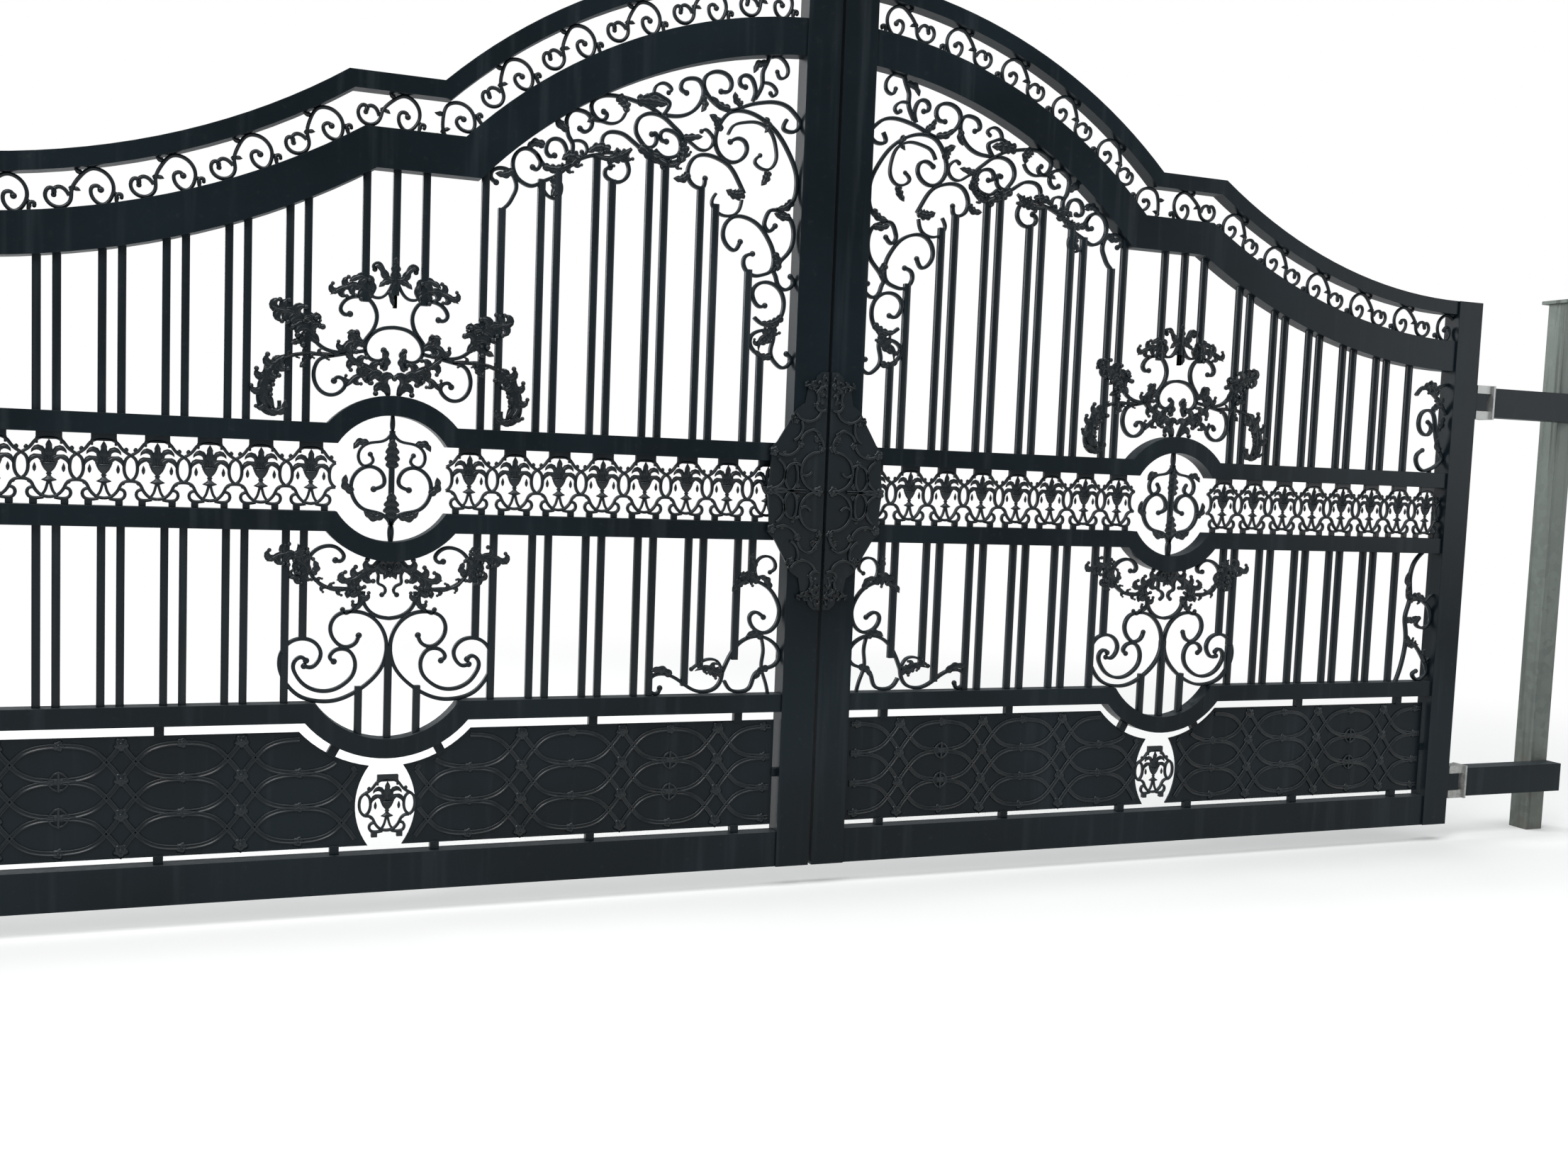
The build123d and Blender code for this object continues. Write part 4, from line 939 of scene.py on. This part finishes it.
def acanthus(spine, half, lobes, lift=7.0, front=9.0, rows=16):
    """A lobed cast leaf along a flat spine: a raised rib, cupped lobes and a curled tip.

    half is its half width, front how far its face stands out and lift how much further its tip does.
    """
    line = rounded(spine, 1.0)
    top, under = [], []
    for k in range(rows + 1):
        i = int(round(k * (len(line) - 1) / rows))
        t = k / rows
        h = heading(line, i, 1)
        body = math.sin(math.pi * min(1.0, 0.16 + 0.84 * t)) ** 0.55 if k < rows else 0.0
        lobe = 0.66 + 0.34 * abs(math.sin(math.pi * lobes * t))
        w = half * max(0.06, body * lobe)
        for s, height in LEAF_SECTION:
            out = front + lift * 0.55 * t ** 2 + height - 9.0 * (1 - lobe) * abs(s)
            back = -0.28 * w * abs(s)
            u = line[i][0] - s * w * math.sin(h) + back * math.cos(h)
            z = line[i][1] + s * w * math.cos(h) + back * math.sin(h)
            top.append((u, z, out))
            under.append((u, z, out - LEAF_THICK - (RIB_THICK if abs(s) < 0.5 else 0.0)))
    n = len(LEAF_SECTION)
    base = len(top)
    faces = []
    for k in range(rows):
        for j in range(n - 1):
            a, b = k * n + j, (k + 1) * n + j
            faces.append((a, a + 1, b + 1, b))
            faces.append((base + a, base + b, base + b + 1, base + a + 1))
        for j in (0, n - 1):
            a, b = k * n + j, (k + 1) * n + j
            faces.append((a, b, base + b, base + a))
    for k in (0, rows):
        for j in range(n - 1):
            a = k * n + j
            faces.append((a, a + 1, base + a + 1, base + a))
    return solid(top + under, faces)


def spray(spine, reach, pairs, front=8.0):
    """A leafy branch: a ribbed leaf along the spine and curled leaves that spring from it in pairs."""
    line = rounded(spine, 1.0)
    made = [acanthus(spine, 0.46 * reach, pairs, 7.0, front + 1.0, 6 * pairs)]
    for k in range(2 * pairs):
        side = 1 if k % 2 else -1
        t = (k + 0.6) / (2 * pairs + 0.8)
        i = int(t * (len(line) - 2))
        h = heading(line, i, 3) + 0.30 * side
        size = 1.7 * reach * (1.0 - 0.28 * t)
        points = [line[i]]
        for j in range(4):
            u, z = points[-1]
            points.append((u + size / 4 * math.cos(h), z + size / 4 * math.sin(h)))
            h += 0.76 * side
        made.append(acanthus(points, 0.32 * size, 1, 7.0, front + 1.2 * (k % 3), 8))
        made.append(moved(ball(0.165 * size / 1000, 1.0, 10, 6), *points[-1], front + 3.0))
    return made


# Placing on the leaves

def stood(mesh, side):
    """A copy of a flat drawn mesh, stood up on one leaf in the gate's frame."""
    copy = mesh.copy()
    copy.transform(Matrix.Rotation(math.pi / 2, 4, "X"))
    copy.transform(Matrix.Translation((SEAM + SEAM_HALF, LEAF_MIDDLE_Y, LEAF_FOOT_Z)))
    if side == "left":
        copy.transform(Matrix.Translation((2 * SEAM, 0, 0)) @ Matrix.Diagonal((-1, 1, 1, 1)))
        copy.flip_normals()
    return copy


def on_leaves(name, mesh, node=None):
    """A piece of each leaf from one drawn mesh, which takes the place of a CAD node if one is named."""
    for side in ("left", "right"):
        piece = linked(f"{side}_{name}", stood(mesh, side))
        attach(piece, f"{side}_leaf")
        if node:
            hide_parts(f"{side}_{node}")


def dressed(node, material):
    """Gives a CAD node that stays its material."""
    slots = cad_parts[node].data.materials
    slots.clear()
    slots.append(material)


def scroll_meshes(name):
    """The irons and leaves of one scroll group, in the leaf's drawing."""
    sizes = bpy.context.scene.gate_sizes
    skins = finishes()
    u0, z0, both, lines = SCROLL_GROUPS[name]
    broad, light, ends = [], [], []
    for kind, marks, points in lines:
        line = rounded(points)
        (broad if kind == "iron" else light).append(line)
        for mark, k in (("s", 0), ("e", -1)):
            if mark in marks:
                ends.append((*line[k], 0.0, 0.0, 1.0 if kind == "iron" else FINE_BALL))
    made = [irons(broad, sizes.iron_w, sizes.iron_d, skins["bar"])]
    if light:
        made.append(irons(light, sizes.fine_w, sizes.iron_d, skins["bar"]))
    made.append(castings(ends, ball(sizes.ball_r), skins["bar"]))
    leaves = [acanthus(*leaf) for leaf in LEAVES[name]]
    for branch in SPRAYS.get(name, []):
        leaves += spray(*branch)
    if both:
        made += [mirrored(m) for m in made]
        leaves += [mirrored(m) for m in leaves if max(v.co.x for v in m.vertices) > LEAF_OFF_AXIS]
    if name == "medallion_scrolls":
        made.append(irons([MEDALLION_STEM], sizes.stem_w, sizes.iron_d, skins["bar"]))
    for mesh in made + leaves:
        moved(mesh, u0, z0)
    return joined(made, skins["bar"]), joined(leaves, skins["cast"])


def urn_casting(single=False):
    """The frieze's unit, 176 mm high: a vase of flowers in an arch of strap.

    A row's units each have half of the loop that they share, and a single one has its loops whole.
    """
    sizes = bpy.context.scene.gate_sizes
    cast = finishes()["cast"]
    arch = [(0, 163), (16, 161), (30, 153), (39, 141), (49, 131), (URN_EDGE, 124)]
    loop = [(URN_EDGE, 124), (51, 116), (46.5, 104), (45.5, 93), (47, 80), (52, 69), (URN_EDGE, 61)]
    lower = [(URN_EDGE, 61), (47, 59), (38, 51), (34, 42), (27, 31), (15, 21), (0, 18)]
    foot = [(12, 17), (31, 14.5), (43, 18), (48, 28), (44, 38), (36, 41)]
    straps = [arch, loop, lower, foot]
    if single:
        straps.append([(URN_PITCH - u, z) for u, z in loop])
    half = [
        irons([rounded(strap, 4.5) for strap in straps], sizes.strap_w, sizes.strap_d, cast, STRAP_EDGE),
        irons([rounded([(2, 56), (5, 44), (9, 32), (17, 21)], 3.0)], STALK_W, STALK_D, cast, STALK_EDGE),
        block(26, 43, 0, 15, 13),
        block(24, 30, 146, 162, 11),
        acanthus([(3, 100), (10, 124), (21, 136), (33, 133), (39, 124)], 8.5, 2, 4.0, 3.5, 10),
        acanthus([(5, 98), (18, 113), (31, 115), (41, 106), (43, 95)], 8.0, 2, 3.0, 4.5, 10),
        moved(turned([(0.5, 78), (3.5, 82), (4.5, 89), (2.5, 96), (0.5, 100)], 0.9), 32),
        moved(turned([(0.5, 97), (5, 100), (6, 104), (4, 108), (0.5, 110)], 0.9), 14),
        moved(turned([(1, 131), (5, 134), (5.5, 139), (2, 143)], 0.9), 50),
        moved(turned([(1, 50), (5, 53), (5, 58), (1, 61)], 0.9), 43),
    ]
    vase = [(2, 52), (8, 55), (17, 58), (17, 60), (10, 64), (5.5, 68), (4.5, 71), (7, 74), (4.5, 77),
            (7.5, 80), (12.5, 86), (16, 93), (18, 98), (17, 101), (4, 102)]
    middle = [
        turned(vase, 0.5, 14),
        block(-29, 29, 157, 176, 13),
        acanthus([(0, 100), (0, 126), (0, 157)], 11, 3, 3.0, 5.0, 10),
    ]
    return joined(half + [mirrored(m) for m in half] + middle, cast)


def crown_places():
    """Where each frieze casting stands on the arc, the shoulder and the hollow sweep, with its turn."""
    arc_r = ARCH_R + CROWN_MIDDLE
    hollow_r = SWEEP_R - CROWN_MIDDLE
    level = SHOULDER_Z + CROWN_MIDDLE
    arc_end = math.sqrt(arc_r ** 2 - (level - ARCH_CENTRE_Z) ** 2)
    hollow_start = U_OUT - math.sqrt(hollow_r ** 2 - (SWEEP_Z - level) ** 2)
    arc = arc_r * math.asin(arc_end / arc_r)
    hollow = hollow_r * math.asin((U_OUT - hollow_start) / hollow_r)
    places = [((arc_end + hollow_start) / 2 + FRIEZE_LEAD, level, 0.0, 0.0, 1.0)]
    along = FRIEZE_FIRST
    while along < arc + FRIEZE_LEAD:
        a = along / arc_r
        places.append((arc_r * math.sin(a), ARCH_CENTRE_Z + arc_r * math.cos(a), 0.0, -a, 1.0))
        along += FRIEZE_PITCH
    along = HOLLOW_PITCH / 2
    while along < hollow:
        a = (hollow - along) / hollow_r
        places.append((U_OUT - hollow_r * math.sin(a), SWEEP_Z - hollow_r * math.cos(a), 0.0, -a, 1.0))
        along += HOLLOW_PITCH
    return places


def bar_spans():
    """The lower and upper ends of the CAD's bars, for each upright of the lower and the upper field."""
    drawn = bmesh.new()
    drawn.from_mesh(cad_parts["right_bars"].data)
    bmesh.ops.remove_doubles(drawn, verts=drawn.verts, dist=0.00005)
    spans = {}
    seen = set()
    for first in drawn.verts:
        if first in seen:
            continue
        seen.add(first)
        bar = [first]
        for corner in bar:
            for edge in corner.link_edges:
                other = edge.other_vert(corner)
                if other not in seen:
                    seen.add(other)
                    bar.append(other)
        across = [corner.co.x for corner in bar]
        upright = [corner.co.z for corner in bar]
        u = round(1000 * ((min(across) + max(across)) / 2 - SEAM - SEAM_HALF), 1)
        low = 1000 * (min(upright) - LEAF_FOOT_Z)
        high = 1000 * (max(upright) - LEAF_FOOT_Z)
        in_upper_field = low > LOWER_MID_TOP
        spans.setdefault((u, in_upper_field), []).append((low - BAR_SEAT, high + BAR_SEAT))
    drawn.free()
    return {place: sorted(ends) for place, ends in sorted(spans.items())}


def in_sheet(u, z):
    """Whether a point of the panel's pattern lies on the sheets, clear of their edges."""
    below_dip = math.hypot(u - CENTRE_U, z - DIP_Z) - DIP_OUT - DIP_GAP
    beside_oval = max(math.hypot(u - CENTRE_U + side * OVAL_REACH, z - OVAL_Z) for side in (-1, 1)) - OVAL_R
    return (U_IN + SHEET_INSET < u < U_OUT - SHEET_INSET and SHEET_LOW < z < SHEET_HIGH
            and below_dip > PATTERN_CLEAR and beside_oval > PATTERN_CLEAR)


def on_plate(u, z):
    """Whether a point of the tracery lies on the lock plate, clear of the plate's edge and the seam."""
    for (u0, z0), (u1, z1) in zip(LOCK_EDGE, LOCK_EDGE[1:]):
        if min(z0, z1) <= abs(z) <= max(z0, z1) and z0 != z1:
            return 4 < u < u0 + (u1 - u0) * (abs(z) - z0) / (z1 - z0) - 5
    return False


# Operators, one for each group of pieces and one for the studio

class Drawn:
    """What the operators share."""
    bl_options = {"REGISTER", "UNDO"}


class GATE_OT_frame(Drawn, bpy.types.Operator):
    """Finish the stiles, the rails and the panel sheets"""
    bl_idname = "gate.frame"
    bl_label = "Frame"

    def execute(self, context):
        for side in ("left", "right"):
            for name in ("meeting_stile", "hinge_stile", "bottom_rail", "lower_rail", "lower_mid_rail",
                         "upper_mid_rail", "arch_rail", "crown_rail", "kick_panel", "hinge_eyes"):
                dressed(f"{side}_{name}", finishes()["coat"])
        return {"FINISHED"}


class GATE_OT_posts(Drawn, bpy.types.Operator):
    """Finish the galvanised posts, their hinge brackets and the arms"""
    bl_idname = "gate.posts"
    bl_label = "Posts and Hinges"

    def execute(self, context):
        for side in ("left", "right"):
            for name, skin in (("post", "tube"), ("hinge_brackets", "zinc"), ("hinge_arms", "coat")):
                dressed(f"{side}_{name}", finishes()[skin])
        return {"FINISHED"}


class GATE_OT_bars(Drawn, bpy.types.Operator):
    """Set the square bars between the rails"""
    bl_idname = "gate.bars"
    bl_label = "Square Bars"

    def execute(self, context):
        sizes = context.scene.gate_sizes
        nearest, furthest = BESIDE_CREST
        lines = []
        for (u, in_upper_field), ends in bar_spans().items():
            if in_upper_field and nearest < abs(u - CENTRE_U) < furthest:
                top = max(high for low, high in ends)
                ends = [(ends[0][0], max(top, CORNER_END) if u < CENTRE_U else top)]
            lines += [[(u, low), (u, high)] for low, high in ends if high - low > BAR_STUB]
        on_leaves("square_bars", irons(lines, sizes.bar_w, sizes.bar_w, finishes()["bar"]), "bars")
        return {"FINISHED"}


class GATE_OT_scrolls(Drawn, bpy.types.Operator):
    """Bend the scrolls and set their cast leaves"""
    bl_idname = "gate.scrolls"
    bl_label = "Scrollwork"

    def execute(self, context):
        for name in SCROLL_GROUPS:
            iron, leaves = scroll_meshes(name)
            on_leaves(name + "_iron", iron, name)
            on_leaves(name + "_leaves", leaves)
        return {"FINISHED"}


class GATE_OT_urns(Drawn, bpy.types.Operator):
    """Cast the urn frieze and the urn in the panel's opening"""
    bl_idname = "gate.urns"
    bl_label = "Urn Castings"

    def execute(self, context):
        cast = finishes()["cast"]
        places = [(CENTRE_U + side * reach, LOWER_MID_TOP, 0.0, 0.0, 1.0)
                  for side in (-1, 1) for reach in URN_PLACES]
        on_leaves("urn_row", castings(places, urn_casting(), cast), "urn_frieze")
        single = castings([PANEL_URN], urn_casting(True), cast)
        on_leaves("urn_in_panel", single, "panel_vase")
        return {"FINISHED"}


class GATE_OT_crown(Drawn, bpy.types.Operator):
    """Cast the running scroll frieze under the crown rail"""
    bl_idname = "gate.crown"
    bl_label = "Crown Frieze"

    def execute(self, context):
        sizes = context.scene.gate_sizes
        cast = finishes()["cast"]
        lines = [rounded(line, 3.0) for line in (FRIEZE_SCROLL, FRIEZE_HOOK, FRIEZE_HEART)]
        ends = [(*place, 0, 0, size) for place, size in (
            (FRIEZE_SCROLL[0], 0.85), (FRIEZE_SCROLL[-1], 0.70), (FRIEZE_HOOK[-1], 0.50))]
        unit = joined([
            irons(lines, sizes.crown_w, sizes.crown_d, cast, FRIEZE_IRON_EDGE),
            castings(ends, ball(FRIEZE_BALL), cast),
            acanthus([(58, 2), (46, 1), (33, -6)], 6.5, 2, 3.0, 3.0, 8),
            acanthus([(20, 34), (30, 41), (36, 50)], 6.5, 1, 2.0, 3.0, 8),
            acanthus([(-39, -18), (-44, -28), (-40, -42)], 5.0, 2, 2.0, 3.0, 8)], cast)
        on_leaves("crown_scrolls", castings(crown_places(), unit, cast), "crown_frieze")
        return {"FINISHED"}


class GATE_OT_panel(Drawn, bpy.types.Operator):
    """Raise the interlaced pattern on the panel sheets"""
    bl_idname = "gate.panel"
    bl_label = "Panel Pattern"

    def execute(self, context):
        cast = finishes()["cast"]
        quarter = rounded(LENS_QUARTER, 5.0)
        lines, flowers, clasps = [], [], []
        for side in (-1, 1):
            for k in range(4):
                uc = CENTRE_U + side * (FIRST_LENS + 2 * HALF_LENS * k)
                for zc in LENS_ROWS:
                    for a, b in ((-1, -1), (-1, 1), (1, -1), (1, 1)):
                        lines += runs_inside([(uc + a * u, zc + b * z) for u, z in quarter], in_sheet, 2)
                for z in FLOWER_ROWS:
                    if in_sheet(uc + side * HALF_LENS, z):
                        flowers.append((uc + side * HALF_LENS, z, SHEET_FRONT, 0.3, 1.15))
                    if all(in_sheet(uc + reach, z) for reach in (-16, 0, 16)):
                        clasped = k == 2 and z in FLOWER_ROWS[1:3]
                        (clasps if clasped else flowers).append((uc, z, SHEET_FRONT, 0.0, 0.9))
        ring = mouldings([rounded(CLASP_RING), rounded([(u, -z) for u, z in reversed(CLASP_RING)])],
                         CLASP_RIDGE, cast)
        clasp = joined([ring, block(-3.5, 3.5, -29, 29, 14), block(-12, 12, -7, 7, 12)], cast)
        pattern = [mouldings(lines, LENS_RIDGE, cast, SHEET_FRONT - SUNK),
                   castings(flowers, rosette(18, 6.0), cast), castings(clasps, clasp, cast)]
        on_leaves("panel_pattern", joined(pattern, cast))
        return {"FINISHED"}


class GATE_OT_lock(Drawn, bpy.types.Operator):
    """Make the lock plate with its raised tracery, rosettes and leaf sprays"""
    bl_idname = "gate.lock"
    bl_label = "Lock Plate"

    def execute(self, context):
        cast = finishes()["cast"]
        edge = [(u, -z) for u, z in reversed(LOCK_EDGE[1:])] + LOCK_EDGE
        n = len(edge)
        vertices = [(u, z, d) for d in (LOCK_BACK, LOCK_FRONT) for u, z in edge]
        sides = [(k, (k + 1) % n, n + (k + 1) % n, n + k) for k in range(n)]
        plate = solid(vertices, [tuple(range(n)), tuple(range(n, 2 * n))] + sides, False)
        lines = []
        for u, z, r, start, end in LOCK_ARCS:
            turns = [math.radians(start + (end - start) * k / 32) for k in range(33)]
            lines.append([(u + r * math.cos(a), z + r * math.sin(a)) for a in turns])
        lines += [rounded(run, 3.0) for run in LOCK_RUNS]
        runs = [[(u, half * z) for u, z in run]
                for line in lines for half in (-1, 1) for run in runs_inside(line, on_plate, 3)]
        knots = [(u, half * z, LOCK_FRONT - KNOT_SUNK, 0.0, size)
                 for u, z, size in LOCK_KNOTS for half in (-1, 1)]
        knots += [(u, z, LOCK_FRONT - KNOT_SUNK, 0.0, size) for u, z, size in LOCK_MIDDLE_KNOTS]
        upper = [leaf for branch in LOCK_SPRAYS for leaf in spray(*branch, LOCK_FRONT + 2)]
        leaves = [m for leaf in upper for m in (leaf, mirrored(leaf, (1, -1, 1)))]
        whole = joined([plate, mouldings(runs, LOCK_RIDGE, cast, LOCK_FRONT - TRACERY_SUNK),
                        castings(knots, rosette(15, 7.0), cast), *leaves], cast)
        on_leaves("lock_casting", moved(whole, 0, LOCK_Z), "lock_plate")
        return {"FINISHED"}


class GATE_OT_studio(Drawn, bpy.types.Operator):
    """Lay the pale floor, light it softly and set the camera"""
    bl_idname = "gate.studio"
    bl_label = "Studio"

    def execute(self, context):
        floor = bmesh.new()
        bmesh.ops.create_grid(floor, x_segments=2, y_segments=2, size=FLOOR_HALF)
        ground = linked("studio_floor", baked(floor, "studio_floor"))
        ground.data.materials.append(finishes()["floor"])
        ground.location = STUDIO_MIDDLE
        context.scene.world = studio_air()
        for name, place, aim, size, power in LAMPS:
            data = bpy.data.lights.new(name, "AREA")
            data.size = size
            data.energy = power
            lamp = linked(name, data)
            lamp.location = place
            lamp.rotation_euler = (Vector(aim) - Vector(place)).to_track_quat("-Z", "Y").to_euler()
        self.set_camera(context.scene)
        context.scene.view_settings.view_transform = "Standard"
        return {"FINISHED"}

    @staticmethod
    def set_camera(scene):
        data = bpy.data.cameras.new("camera")
        data.sensor_fit = "HORIZONTAL"
        data.sensor_width = SENSOR_W
        data.lens = FOCAL_PIXELS * SENSOR_W / PHOTO_PIXELS
        data.clip_end = 200.0
        yaw, pitch, roll = (math.radians(a) for a in CAMERA_TURN)
        ahead = Vector((math.sin(yaw) * math.cos(pitch), math.cos(yaw) * math.cos(pitch), math.sin(pitch)))
        across = Vector((math.cos(yaw), -math.sin(yaw), 0.0))
        up = across.cross(ahead)
        right = math.cos(roll) * across + math.sin(roll) * up
        top = -math.sin(roll) * across + math.cos(roll) * up
        turn = Matrix((right, top, -ahead)).transposed().to_4x4()
        scene.camera = linked("camera", data)
        scene.camera.matrix_world = Matrix.Translation(CAMERA_PLACE) @ turn


class GATE_PT_panel(bpy.types.Panel):
    """The gate's pieces and settings"""
    bl_label = "Driveway Gate"
    bl_idname = "GATE_PT_panel"
    bl_space_type = "VIEW_3D"
    bl_region_type = "UI"
    bl_category = "Gate"

    def draw(self, context):
        column = self.layout.column()
        for group in (context.scene.gate_sizes, context.scene.gate_colours):
            for label in group.__annotations__:
                column.prop(group, label)
        for step in STEPS:
            column.operator(step.bl_idname)


STEPS = (GATE_OT_frame, GATE_OT_posts, GATE_OT_bars, GATE_OT_scrolls, GATE_OT_urns, GATE_OT_crown,
         GATE_OT_panel, GATE_OT_lock, GATE_OT_studio)
CLASSES = (GateSizes, GateColours, *STEPS, GATE_PT_panel)


def register():
    for cls in CLASSES:
        bpy.utils.register_class(cls)
    bpy.types.Scene.gate_sizes = PointerProperty(type=GateSizes)
    bpy.types.Scene.gate_colours = PointerProperty(type=GateColours)


def unregister():
    del bpy.types.Scene.gate_sizes
    del bpy.types.Scene.gate_colours
    for cls in reversed(CLASSES):
        bpy.utils.unregister_class(cls)


def main():
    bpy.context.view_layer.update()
    register()
    for step in STEPS:
        group, name = step.bl_idname.split(".")
        getattr(getattr(bpy.ops, group), name)()


if __name__ == "__main__":
    main()
